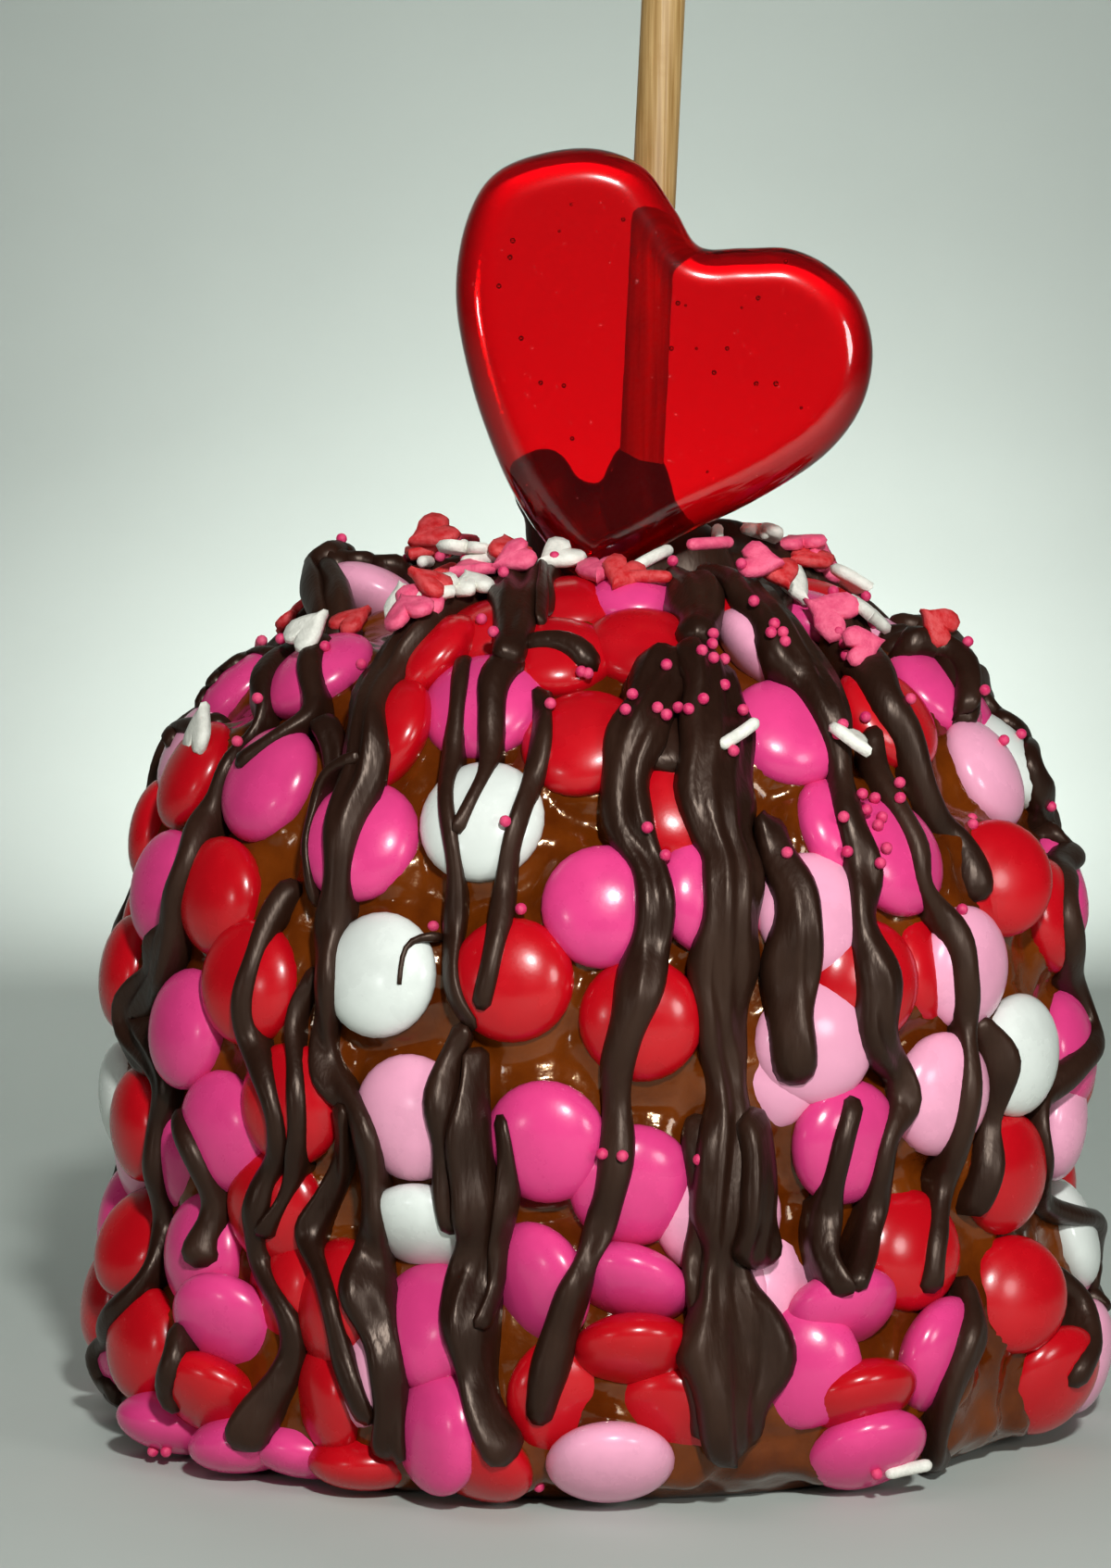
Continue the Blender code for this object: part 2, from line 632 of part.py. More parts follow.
def keep_outer_skin(made):
    """Drops sealed hollows and loose scraps, which leaves one body."""
    mesh = bmesh.new()
    mesh.from_mesh(made.data)
    seen, shells = set(), []
    for face in mesh.faces:
        if face.index in seen:
            continue
        shell, todo = [], [face]
        seen.add(face.index)
        while todo:
            here = todo.pop()
            shell.append(here)
            for edge in here.edges:
                for other in edge.link_faces:
                    if other.index not in seen:
                        seen.add(other.index)
                        todo.append(other)
        shells.append(shell)
    shells.sort(key=len, reverse=True)
    scraps = [face for shell in shells[1:] for face in shell]
    bmesh.ops.delete(mesh, geom=scraps, context="FACES")
    mesh.to_mesh(made.data)
    mesh.free()


def main():
    for old in list(bpy.data.objects):
        bpy.data.objects.remove(old)
    laid = laid_candies()
    candies = laid + fill_candies(laid)
    apple = caramel_core()
    pieces = []
    for k, (middle, axis, _, size) in enumerate(candies):
        sides = CANDY_SIDES if k < len(laid) else FILL_SIDES
        pieces.append(candy_mesh(f"candy_{k}", middle, axis, size, sides))
    strands = [front_strand(knots) for knots in FRONT_STRANDS.values()] + back_strands()
    pieces += [strand_mesh(f"strand_{k}", s, candies) for k, s in enumerate(strands)]
    pieces += [confetti_mesh(f"confetti_{k}", s, candies, 1.3 * k) for k, s in enumerate(FRONT_CONFETTI)]
    pieces += [mound_lump(f"mound_{k}", *lump) for k, lump in enumerate(MOUND_LUMPS)]
    fuse(apple, pieces)
    cutters = [stick(GAP, "stick_hole"), candy_heart(GAP, "heart_pocket")]
    for cutter in cutters:
        apply_boolean(apple, "DIFFERENCE", other=cutter)
        bpy.data.objects.remove(cutter)
    keep_outer_skin(apple)
    paint(apple, "coating", (0.32, 0.03, 0.05), 0.25)
    heart = candy_heart(0.0, "candy_heart")
    heart.data.shade_smooth()
    heart.data.set_sharp_from_angle(angle=math.radians(50))
    paint(heart, "hard_candy", (0.75, 0.0, 0.02), 0.05, 0.9)
    wood = stick(0.0, "bamboo_stick")
    wood.data.shade_smooth()
    wood.data.set_sharp_from_angle(angle=math.radians(30))
    paint(wood, "bamboo", (0.42, 0.24, 0.08), 0.5)


if __name__ == "__main__":
    main()
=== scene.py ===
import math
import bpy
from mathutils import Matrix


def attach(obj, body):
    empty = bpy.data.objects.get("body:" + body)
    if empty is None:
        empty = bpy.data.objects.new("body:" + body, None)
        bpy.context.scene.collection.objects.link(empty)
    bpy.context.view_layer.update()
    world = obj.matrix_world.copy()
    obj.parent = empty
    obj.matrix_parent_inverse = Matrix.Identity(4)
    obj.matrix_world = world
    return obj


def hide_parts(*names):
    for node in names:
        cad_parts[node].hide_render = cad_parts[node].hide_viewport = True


bl_info = {
    "name": "Caramel Apple",
    "version": (1, 0, 0),
    "blender": (4, 5, 0),
    "location": "3D View > Sidebar > Caramel Apple",
    "description": "Builds a candy-coated caramel apple with drizzle, sprinkles, a heart and a stick",
    "category": "Add Mesh",
}

import bpy
import numpy as np
from bpy.props import FloatProperty, FloatVectorProperty, IntProperty, PointerProperty
from mathutils import Matrix, Vector
from mathutils.bvhtree import BVHTree
from mathutils.kdtree import KDTree

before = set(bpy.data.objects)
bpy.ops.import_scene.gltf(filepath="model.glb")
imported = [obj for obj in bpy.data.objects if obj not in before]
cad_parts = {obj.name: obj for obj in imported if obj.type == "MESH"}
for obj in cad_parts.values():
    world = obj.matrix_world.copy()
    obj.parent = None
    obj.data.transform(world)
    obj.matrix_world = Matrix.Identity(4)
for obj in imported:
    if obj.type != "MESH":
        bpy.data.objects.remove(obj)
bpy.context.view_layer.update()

MM = 0.001
BODY = "root"
UP = np.array((0.0, 0.0, 1.0))

# The eye and the layout board that faces it, in millimetres. A row of a layout below gives board
# millimetres, right and up from the board's middle. The apple is looked for between near and far
# sight from the eye.
EYE = np.array((-4.7, -500.0, 108.0))
BOARD_DISTANCE = 480.0
BOARD_TILT = math.radians(4.29)
NEAR_SIGHT, FAR_SIGHT, SIGHT_STEP = 420.0, 560.0, 0.25
AHEAD = np.array((0.0, math.cos(BOARD_TILT), -math.sin(BOARD_TILT)))
ABOVE = np.array((0.0, math.sin(BOARD_TILT), math.cos(BOARD_TILT)))
SEED = 14

# The caramel's outline, in millimetres: a round shoulder, a waist and a foot that flares.
SHOULDER_HEIGHT, SHOULDER_POWER = 35.0, 2.6
FOOT_FLARE, FOOT_HEIGHT, FOOT_SPREAD = 1.8, 9.0, 9.0
WAIST_DEPTH, WAIST_HEIGHT, WAIST_SPREAD = 1.4, 28.0, 8.0
SOLE_ROUNDING, TOP_CROWDING = 5.0, 0.9

# How the candies lie: their colours with each one's share of the fill, their range of sizes, the spin
# from each to the next and how far they turn at random, in degrees. Fill candies go where the layout
# leaves room on the far side, in two rounds of spacing, and nested ones lie deeper, in the gaps
# between those. Facing is the most that either may face the eye.
CANDY_COLOURS = ("red", "hot_pink", "pale_pink", "white")
FILL_SHARES = (0.36, 0.36, 0.18, 0.10)
CANDY_SIZES, CANDY_SPIN = (0.97, 1.02), 2.4
LAID_TURN, FILL_TURN = 4.0, 9.0
FILL_SPACINGS, FILL_FACING = (12.9, 12.0), 0.30
NESTED_SPACINGS, NESTED_FACING, NESTED_SINK = (10.6, 9.8), -0.15, 1.5
FILL_TRIES, FILL_FROM = 6000, 3.0
SOLE_CLEARANCE, FLOOR_CLEARANCE = 0.4, 0.1
CANDY_REACH = 11.0

# The stick's foot and lean, the plane of the heart, and the room that candies leave them.
STICK_FOOT, STICK_LEAN = (4.2, 0.0), math.radians(2.7)
HEART_MIDDLE_X, HEART_MIDDLE_Y = 4.0, -8.6
TOPPING_DEPTH, STICK_ROOM, HEART_ROOM_ACROSS, HEART_ROOM_DEEP = 5.0, 9.5, 15.0, 4.0

# The candies that lie flat on the caramel, by colour.
FLAT_CANDIES = {
    "red": (
        (-0.2, 13.5), (-8, 15.7), (-38.8, 0.9), (-43, -5.1), (-36, -12.1), (-46, -20.3), (3, 4.4),
        (13.5, -3.3), (-4.7, -21.3), (9.2, -25.5), (-32.8, -21.6), (-28.4, -34.5), (-30, -45.8),
        (-44.3, -60.3), (-48.2, -55.3), (29.3, 19.2), (35.8, 6.7), (53.2, -14.3),
        (33, -21.5), (37.8, -50.3), (48.3, -42.1), (9.7, 14.4),
    ),
    "hot_pink": (
        (8.6, 19.5), (-25.5, 11.6), (-33.8, 9.7), (-30.9, -0.2), (-42, -11.5), (-21, -6.3),
        (-7.8, 8.2), (5.2, -13.2), (-39.6, -26.3), (-35.4, -37.5), (-1, -38.5), (8.3, -43.5),
        (-47.2, -46.5), (-37.8, -50.8), (25, 5.5), (40.8, 9.7), (36.2, -7.8), (55, -28.5),
        (31.2, -38.5),
    ),
    "pale_pink": (
        (-40.2, 4.6), (-15.5, -36), (17.5, -46.5), (46.3, 0.9), (27.8, -14),
        (44, -20.1), (27.8, -28), (41.5, -33.6), (54.2, -36.8), (59.5, -64.5),
    ),
    "white": (
        (-7.9, -4.2), (-18.9, -20.5), (49.5, 2.9), (49.8, -29.3), (-47.2, -34),
    ),
}

# The tilted ones: how far each is turned right and lifted, in degrees, and where there is a fifth
# number how far it is sunk into the caramel, in millimetres.
TILTED_CANDIES = {
    "red": (
        (-13.4, 12.9, -35, 0), (-18.2, 4.9, -30, 0), (-23.5, -56, -30, 0), (-37, -66.1, 10, 40),
        (-20.2, -76.3, 0, 30), (-8.8, -75, -20, 20), (1.2, -65.9, 30, 20, 2.4), (8.6, -61.3, 0, 65),
        (18.5, 17.2, 20, -10), (47.7, -10.2, -30, 0), (49.5, -55.1, -28, 0), (32.5, -66.1, 0, 60),
        (53.3, -64.5, -20, 20), (12.8, -68.1, -20, 30, 2.2),
    ),
    "hot_pink": (
        (16.8, -12.1, 20, 0), (-1.8, -54, -43, 25), (8, -54, -37, 50), (-13.8, -58.5, -20, 0),
        (-12.6, -69.8, -42, 0), (-35.3, -58.5, 25, 40), (-41, -70, 0, 40), (-33, -73.1, 20, 45),
        (30.5, -57, 0, 60), (41.2, -61.5, 20, 20), (33.5, -71.9, 0, 45), (26.2, -62.8, -40, 0, 0.6),
    ),
    "pale_pink": ((5.9, -73, 0, 45), (-20.2, 21.9, -22, -46, -1.4)),
    "white": ((-13.8, -47.8, 0, 40),),
}

# Each strand's course from the top down, with its width there.
STRANDS = {
    "left_edge": (
        (-25.2, 17.2, 4), (-29.2, 15.1, 4), (-32.7, 12.1, 4), (-33.3, 7.8, 3.8), (-37, 1.4, 3.8),
        (-38.9, -5.6, 4), (-41.5, -12, 4.4), (-44, -19.8, 5.2), (-46.1, -26, 5.9), (-44.8, -32, 4.6),
        (-44, -39.7, 3.7), (-43.7, -50.1, 3.3), (-48.5, -57.9, 3), (-50, -62.3, 2.8),
        (-46.4, -69.2, 2.8), (-42, -72.8, 3),
    ),
    "left_tail": (
        (-41.6, -35.3, 2.4), (-38.6, -42.1, 3), (-37.5, -46, 3.4), (-39.1, -50.1, 4.4),
        (-38.9, -52.8, 4),
    ),
    "left_front": (
        (-6, 22.2, 4.2), (-12.6, 18.5, 5), (-16.2, 16, 6), (-19.6, 12.1, 6.4), (-21, 7.9, 6.2),
        (-21.6, 1, 5.2), (-23.6, -4.7, 4), (-24.2, -12.8, 3.8), (-25.2, -19.3, 3.4),
        (-24.7, -30, 3.2), (-20.9, -38, 3.4), (-20.1, -46, 3.8), (-19.9, -55, 4.2),
        (-18.2, -65, 3.8), (-17.7, -74.2, 3.8),
    ),
    "left_thread": (
        (-19.9, 1.9, 1.2), (-23.6, 0.4, 1.2), (-26, -2.6, 1.2), (-27.1, -6.1, 1.2), (-26.6, -11.4, 1.2),
        (-25.5, -13.8, 1),
    ),
    "left_drops": (
        (-27.9, -10.1, 2.2), (-31.7, -15.4, 2.4), (-34.3, -24.6, 2.4), (-31.7, -32.1, 2.6),
        (-30.3, -39.4, 2.6), (-32.2, -43.4, 2.8), (-32.7, -51.4, 2.8), (-28.8, -58.6, 2.8),
        (-29.2, -64, 3), (-31.9, -68.2, 4.4), (-34.1, -71.5, 6.4), (-35.1, -73.5, 6.6),
    ),
    "middle_left": (
        (-10.1, 14.7, 2), (-11.2, 4, 2), (-12, -1.4, 2), (-10.9, -10.8, 2.2), (-11.4, -21.5, 2.2),
        (-8.7, -27, 2.4),
    ),
    "fork_left": (
        (-9.8, -25.5, 2.6), (-12.5, -33.3, 3.2), (-12.1, -38, 2.8), (-11.5, -41.3, 3.4),
        (-11.4, -46.6, 3.8), (-10.8, -49.6, 3),
    ),
    "fork_right": (
        (-8.2, -28, 2.6), (-8.2, -33.3, 2.8), (-8.6, -38, 3.6), (-7.6, -44, 5), (-7.8, -48.7, 5.8),
        (-9.2, -54, 5), (-9.8, -58, 5.4), (-8.8, -62.6, 4), (-8, -66.6, 4.4), (-6.6, -70.5, 4),
        (-4.2, -74.5, 4),
    ),
    "fork_thread": (
        (-6.2, -35.3, 1.6), (-5.4, -40.3, 2), (-5, -45.3, 2), (-6, -50.3, 2.2), (-6.2, -55.3, 1.8),
        (-7.4, -60.3, 1.8),
    ),
    "shoulder_fork": (
        (-3.9, 14.9, 3.2), (-6.7, 12.1, 3.2), (-7, 7.9, 2.6), (-7.4, 2.2, 2), (-9.2, -1.5, 1.6),
        (-11, -5.8, 1.6),
    ),
    "middle_thread": (
        (-1.5, 10.7, 2.2), (-1.5, 5.9, 2.2), (-2.4, 1, 2.2), (-4.8, -6, 2.2), (-5.8, -12.9, 2.2),
        (-6.6, -16.9, 2.2), (-8.5, -25.5, 2.4),
    ),
    "plate": ((12.8, 13.6, 5), (13.2, 10.6, 11), (13.6, 7.4, 13.6), (14, 4, 13), (14.4, 1.6, 8)),
    "middle": (
        (12.6, 13.2, 4), (10.8, 9.6, 6.6), (8.9, 6, 7), (7.6, 1.3, 5), (7.9, -4.1, 4.4),
        (10.3, -9.4, 4.4), (10.8, -14.8, 4.6), (8.9, -22.8, 4.2), (6.7, -30.7, 3.8),
        (6.7, -40, 3.2), (5, -47.5, 3.2), (1.4, -56.1, 3.2), (-1, -64.1, 3.8), (-2.2, -70, 4),
    ),
    "broad_under": (
        (15.9, -35.3, 2.6), (15.7, -40.3, 3.4), (16.2, -46.3, 3.2), (15.5, -51.3, 3.4),
        (15.9, -57.3, 3.4), (15.4, -62.3, 4.2), (16.4, -67.3, 4), (17, -72.3, 3.4),
    ),
    "broad": (
        (15.5, 14.3, 5), (16.6, 11, 8), (17.6, 7, 9.4), (18.1, 1, 8.2), (18.6, -4.1, 7.8),
        (20, -8.3, 8.2), (19.5, -14.8, 7.4), (18.1, -25.3, 6.2), (18.5, -31, 5.6), (18.8, -36, 5.4),
        (18.6, -41, 6), (18.4, -47, 6.4), (18.4, -52, 6), (18.8, -55, 6.8), (19.2, -56.8, 9.4),
        (19.6, -58.8, 11.2), (19.9, -62, 11.8), (19.9, -65, 11.8), (19.8, -68, 10.8), (19.8, -71, 9),
        (20.2, -75, 6.8),
    ),
    "broad_drop": (
        (20, -34.5, 3), (21.4, -38, 4.4), (22, -43, 5.4), (22, -48, 6), (21.8, -51.3, 5),
        (21.4, -53.4, 3),
    ),
    "crown_right": ((13, 24, 3), (15.4, 20.5, 4), (15.8, 17.6, 4), (14.8, 15, 4), (14.5, 13.6, 4.6)),
    "right_front": (
        (22.5, -3, 3.6), (24.4, -7.5, 4.6), (26.3, -10.7, 4.8), (26.8, -14.8, 5), (25.8, -22.8, 4.8),
        (26.2, -28, 4.8), (26.8, -33.9, 5),
    ),
    "right_shoulder": (
        (17.3, 25.2, 6.4), (22, 20.5, 7.8), (26, 16, 7.8), (28.8, 11.5, 6.8), (31, 6, 4.8),
        (31.9, -2.7, 3.2), (33.5, -9, 3.6), (33.8, -14.8, 4.2), (35.7, -21.5, 4.8),
        (35.1, -27.3, 4.4), (37.5, -31, 3.8), (38.2, -35, 3.4), (36.2, -38.7, 2.8),
        (35.1, -46.7, 2.8), (33, -53.4, 2.8), (31.9, -55.8, 2.6),
    ),
    "right_loop": (
        (33, -33.5, 2.8), (31.4, -38.7, 2.6), (29.3, -48, 2.6), (29.3, -51, 2.6), (31.9, -55.8, 2.6),
    ),
    "right_side": (
        (34.1, 6.7, 2.6), (35.1, 1.8, 2.6), (37.6, -2.7, 2.6), (39.7, -6.7, 2.8), (40.2, -10.8, 2.6),
        (43.7, -16.1, 2.8), (44.8, -22, 2.6), (45.3, -33.3, 2.8), (43.5, -40.3, 2.8),
        (41.8, -48, 2.6), (40.8, -55.6, 2.6),
    ),
    "right_back": (
        (30.5, 19.2, 3.6), (34, 14.2, 4.4), (36.4, 9.3, 4.4), (38.4, 5.3, 3), (40.2, -0.8, 3),
        (42.1, -3.5, 3.2), (45.1, -5.4, 3.2), (46.4, -8.1, 3), (47.5, -13.7, 2.6),
    ),
    "right_crown": (
        (35.5, 17.2, 3.6), (40.5, 15.7, 3.8), (43.5, 12.7, 3.6), (45, 9.2, 3.2), (44, 6.7, 2.4),
    ),
    "right_bow": ((36, 13.7, 2.4), (40, 12.7, 2.6), (42.5, 9.2, 2.6), (44, 6.7, 2.2)),
    "right_drop": (
        (46.4, -25.2, 2.6), (48.8, -30.7, 3), (47.7, -36.8, 1.4), (47.7, -41.4, 3.2),
        (45.3, -47.5, 1.6),
    ),
    "right_low": (
        (44.6, -52.9, 3), (45.4, -57.5, 3.4), (45, -61.2, 4.2), (43, -65.9, 4), (42, -70, 3.2),
        (41.4, -74.4, 3),
    ),
    "right_edge": (
        (38, 19.5, 3), (44.8, 12.6, 3), (48.8, 8, 2.8), (52.8, -1.4, 2.8), (55.8, -8, 2.8),
        (55.8, -16.1, 2.8), (56.5, -24, 2.8), (55.5, -34, 2.8), (53.8, -43, 2.6), (57.5, -50, 2.8),
        (60, -56, 2.8),
    ),
    "right_hem": (
        (55.5, -52.1, 2.6), (57.1, -56.1, 2.6), (58, -61, 2.6), (56.5, -66.3, 2.6),
    ),
    "left_top": ((-30.6, 15.3, 1.4), (-34.6, 13.7, 1.4), (-36.5, 10.8, 1.4), (-40.7, 9.2, 1.4)),
    "left_shoulder": ((-44, 5.4, 2.2), (-40, 7, 2.2), (-37, 8.7, 2.2)),
    "left_cross": (
        (-23.1, 13.5, 2.2), (-25.2, 11.3, 2.2), (-26.3, 8.1, 2.4), (-30, 5.8, 2.2), (-34.9, 2.2, 2.2),
    ),
    "left_inner": ((-25.8, 7.8, 2.4), (-24.4, 4.6, 2.5), (-24.1, -0.2, 2.4)),
    "front_side": (
        (-26.8, -19.3, 1.6), (-29, -24.6, 1.7), (-28.2, -32.1, 1.8), (-28.4, -41.5, 1.8),
        (-31.7, -49.6, 1.6),
    ),
    "front_join": (
        (-23.1, -34.3, 2.2), (-23.6, -42.1, 2.4), (-27.1, -48.8, 2.4), (-25.2, -54.1, 2.6),
        (-22.8, -63.6, 2.6), (-20.2, -69.9, 2.6),
    ),
    "left_hem": ((-41.4, -57.9, 2.2), (-41.4, -62.3, 2.4), (-42.4, -66, 2.2), (-40, -68.9, 2.2)),
    "crown_bow": (
        (-4.2, 15.2, 1.9), (-1.9, 15.9, 2.1), (1.5, 15.6, 2.2), (3.7, 13.7, 2.1), (4.5, 11.5, 1.6),
    ),
    "crown_left": (
        (0, 24.4, 4), (-2.8, 23.3, 4.8), (-4.2, 20.5, 4.6), (-4.7, 16, 3.6), (-5.3, 12.1, 3),
    ),
    "tip_collar": ((-3, 25.4, 2.4), (1, 25.3, 3.2), (5, 24.9, 3.4), (9, 25, 3.4), (14, 26, 2.6)),
    "crown_second": ((-1.1, 22.5, 0.9), (-1.6, 16.6, 0.9)),
    "pink_bow": (
        (-14.5, 26, 2.4), (-18.4, 26.2, 3), (-21.8, 23.5, 3.2), (-23, 19.1, 3), (-24, 16, 2.6),
    ),
    "pink_bow_left": ((-22, 24.6, 1.8), (-25.2, 21.6, 2.2), (-25.8, 17.7, 2)),
    "white_thread": (
        (-12.2, -16.4, 1.4), (-15.7, -16.6, 0.9), (-16.5, -18.8, 0.6), (-16.9, -22.8, 0.4),
    ),
}

# Candies that show only as slivers between the others, with the same five numbers.
TUCKED_CANDIES = {
    "red": (
        (1.5, 18.7, 0, 0, 0.6), (-28.8, -53.8, -20, 0, 1.8), (39.2, -19.8, 30, 0, 2.7),
        (-24.3, -66.1, -40, 10, 2.4), (44.5, -10.3, -20, 0, 2.2),
    ),
    "hot_pink": (
        (30.8, -5.6, 20, 0, 1.6), (44.5, 10.2, 0, 0, 0.8), (-40, -40.3, -20, 0, 2.2),
        (-45.8, -51.3, 0, 20, 0.8), (-27, -73.6, 0, 30, 1.5),
    ),
    "pale_pink": (
        (22.6, 13.8, 35, 0, -0.4), (-20.7, -62.6, -30, 0, 1.2), (24, -53.8, 30, 0, 2.6),
        (-46.7, -39.8, 0, 0, 1), (37.5, 14.7, 0, 0, 0.8), (22.2, -31.1, -30, 0, 2.7),
        (55.8, -49.6, 0, 0, 0.8), (16.5, -54.8, -30, 0, 2.6),
    ),
}

# Sugar sprinkles: middles, then the turn of the piece in degrees where it is long.
SUGAR_HEARTS = {
    "red": (
        (-13.4, 27.3), (-15, 25.4), (-20.9, 18.1), (-5.2, 25.3), (-13.4, 22.4), (6.9, 22.5),
        (26.5, 24.4), (24.8, 23), (41, 17.1),
    ),
    "pink": (
        (-8.9, 23.1), (-4.7, 24.1), (-14, 20.3), (4.5, 22.7), (22.7, 24.4), (29.6, 24.4), (33.4, 14.9),
        (29.2, 18.5), (-17, 19.4),
    ),
    "white": (
        (-9.2, 25.6), (-17.5, 20.5), (-8.5, 20.9), (-26.6, 17), (1.6, 24.8), (26, 21.2), (32.8, 22.3),
        (34.8, 18.5), (-38.2, 6.2), (32.1, 4.2), (-13, 21.5),
    ),
}
SUGAR_RODS = {
    "red": ((-13.7, 23, 80), (9.6, 22.2, 0)),
    "pink": ((15.8, 26.5, 5),),
    "white": (
        (-14.3, 24, 2), (-7.5, 24.5, 20), (10.3, 24.7, 70), (18.1, 27.2, 20), (22, 26.9, 0),
        (19.4, 5.6, 35), (39.4, -75.8, 4),
    ),
}
SUGAR_BEADS = (
    (11.2, 8.3), (12.1, 7.6), (13.3, 8.7), (14.3, 7.9), (16.4, 10.1), (16.1, 9.4), (18.4, 10.5),
    (13.3, 14.3), (12.5, 13.2), (12.8, 12.6), (17.3, 16.6), (16.4, 15.7), (16.3, 14.7),
    (17, 13.6), (18.4, 13.6), (20.2, 8), (19.4, 3.6), (21.5, 20.2), (12.6, 24.8), (20.3, 26.5),
    (21, 25), (24, 17.5), (24.5, 16.4), (23.3, 16.3), (24.8, 15.6), (30.3, 21.9), (32.4, 20.2),
    (34.5, 18), (38.9, 9.3), (31.1, 15.6), (31.7, 14.4), (30.4, 16.8), (44.2, 15.6), (46.6, 10),
    (48.5, 4.9), (50.4, 5.6), (33.8, 6.9), (31.3, 6.3), (30.2, 5.6), (33.8, -0.8), (34.6, -1.5),
    (33.8, -2.7), (34.7, -4), (35.1, -3.5), (38, 0.1), (37.4, -1.5), (30.7, -3.8), (31.1, -6.9),
    (35.9, -6.7), (35.5, -8.2), (25.1, -7.5), (45.3, -3.5), (45.1, -4.3), (44.2, -13.5),
    (53.9, -2.4), (3, 12.3), (3.6, 11.5), (-0.7, 8.7), (8.3, 9.2), (7.2, 8), (-5.4, -3.9),
    (-4, -13.2), (-13, -15.4), (9.4, -4.6), (11.6, -8), (5.3, -40.2), (6.8, -39.9), (15.6, -40.3),
    (-31.6, 9.6), (-34.5, 4.7), (-21.3, 13.4), (-24.9, 15.3), (-29.6, 16.6), (-7.8, 18.1),
    (-6.8, 16.3), (-12.2, 20.6), (-10.6, 25), (-3, 25.7), (0.2, 25.5), (-5.7, 23.6), (-15.9, 19.6),
    (-43.5, -72), (-42.2, -72.6), (-1.5, -76), (35.3, -75.1),
)

# The candy heart's edge, once round, and its air bubbles.
HEART_OUTLINE = (
    (15.5, 58.1), (20.2, 57.9), (25.4, 57.8), (29.8, 55.7), (33, 52), (34.3, 46.5), (33, 40.6),
    (29, 35.4), (22, 30.8), (14.5, 27.2), (8, 23.6), (3.9, 21.8), (0.6, 23.9), (-3.2, 29),
    (-6.2, 34.8), (-9.2, 43.5), (-10.8, 53), (-9.4, 61.5), (-5.6, 66.6), (2.6, 68.7), (9, 67),
    (12.8, 62.2),
)
HEART_BUBBLES = (
    (-3.7, 48.1), (0.4, 59.6), (0.9, 43), (1.8, 37.3), (1.7, 62.5), (-6.1, 53.7), (23.8, 43.2),
    (16.4, 33.7), (13.2, 51.9), (12.5, 47), (21.8, 52.4), (20.1, 51.4), (15.2, 47), (18.5, 47),
    (7.3, 60.9), (-4.6, 58.6), (-4.9, 56.8), (-1.6, 43.3), (26.5, 40.6), (21.6, 43.2), (14, 51.6),
    (24.7, 55.8), (17.1, 44.4),
)


# ---------------------------------------------------------------- sizes and colours


def length(name, description, default):
    return FloatProperty(name=name, description=description, default=default, min=0.0, unit="LENGTH")


def colour(name, description, default):
    return FloatVectorProperty(name=name, description=description, default=default, size=3, min=0.0,
                               max=1.0, subtype="COLOR")


class CoatingSettings(bpy.types.PropertyGroup):
    core_radius: length("Caramel radius", "Radius of the apple with its caramel at the shoulder", 0.0522)
    core_top: length("Caramel height", "Height of the caramel's top over the sole", 0.092)
    skin_step: length("Caramel mesh step", "Distance between points of the caramel's mesh", 0.0008)
    candy_radius: length("Candy radius", "Radius of one candy", 0.00655)
    candy_half: length("Candy half thickness", "Half of one candy's thickness", 0.0033)
    candy_rise: length("Candy rise", "Height of a candy's middle over the caramel", 0.0013)
    caramel: colour("Caramel", "Colour of the caramel", (0.105, 0.0155, 0.0005))
    red: colour("Red candies", "Colour of the red sugar shell", (0.54, 0.002, 0.008))
    hot_pink: colour("Hot pink candies", "Colour of the hot pink sugar shell", (0.76, 0.05, 0.23))
    pale_pink: colour("Pale pink candies", "Colour of the pale pink sugar shell", (0.9, 0.39, 0.55))
    white: colour("White candies", "Colour of the white sugar shell", (0.78, 0.83, 0.77))


class DrizzleSettings(bpy.types.PropertyGroup):
    step: length("Mesh step", "Distance between rings of a strand", 0.001)
    thickest: length("Greatest thickness", "Thickness that the broadest strands reach", 0.0023)
    share: FloatProperty(name="Thickness share", description="Thickness as a share of the width",
                         default=0.46, min=0.1, max=1.0, subtype="FACTOR")
    back_count: IntProperty(name="Back strands", description="Strands on the far side", default=17,
                            min=0)
    chocolate: colour("Chocolate", "Colour of the dark chocolate", (0.021, 0.0072, 0.004))


class SprinkleSettings(bpy.types.PropertyGroup):
    bead: length("Bead diameter", "Diameter of one round sprinkle", 0.00125)
    rod: length("Rod length", "Length of one rod sprinkle", 0.0056)
    heart: length("Sugar heart width", "Width of one flat sugar heart", 0.006)
    back_beads: IntProperty(name="Back beads", description="Round sprinkles on the far side",
                            default=110, min=0)
    red: colour("Red sugar", "Colour of the red sprinkles", (0.64, 0.008, 0.012))
    pink: colour("Pink sugar", "Colour of the pink sprinkles", (0.86, 0.08, 0.2))
    white: colour("White sugar", "Colour of the white sprinkles", (0.84, 0.84, 0.74))
    beads: colour("Bead sugar", "Colour of the round sprinkles", (0.74, 0.012, 0.13))


class HeartSettings(bpy.types.PropertyGroup):
    thickness: length("Thickness", "Thickness of the candy heart", 0.008)
    bevel: length("Edge rounding", "Width of the heart's rounded edge", 0.0044)
    candy: colour("Clear red candy", "Colour of the clear candy", (0.97, 0.002, 0.014))


class StickSettings(bpy.types.PropertyGroup):
    diameter: length("Diameter", "Diameter of the stick", 0.005)
    length: length("Length", "Length of the stick", 0.14)
    shown: length("Shown length", "Length that stands out of the caramel", 0.076)
    bamboo: colour("Bamboo", "Colour of the bamboo", (0.47, 0.26, 0.068))


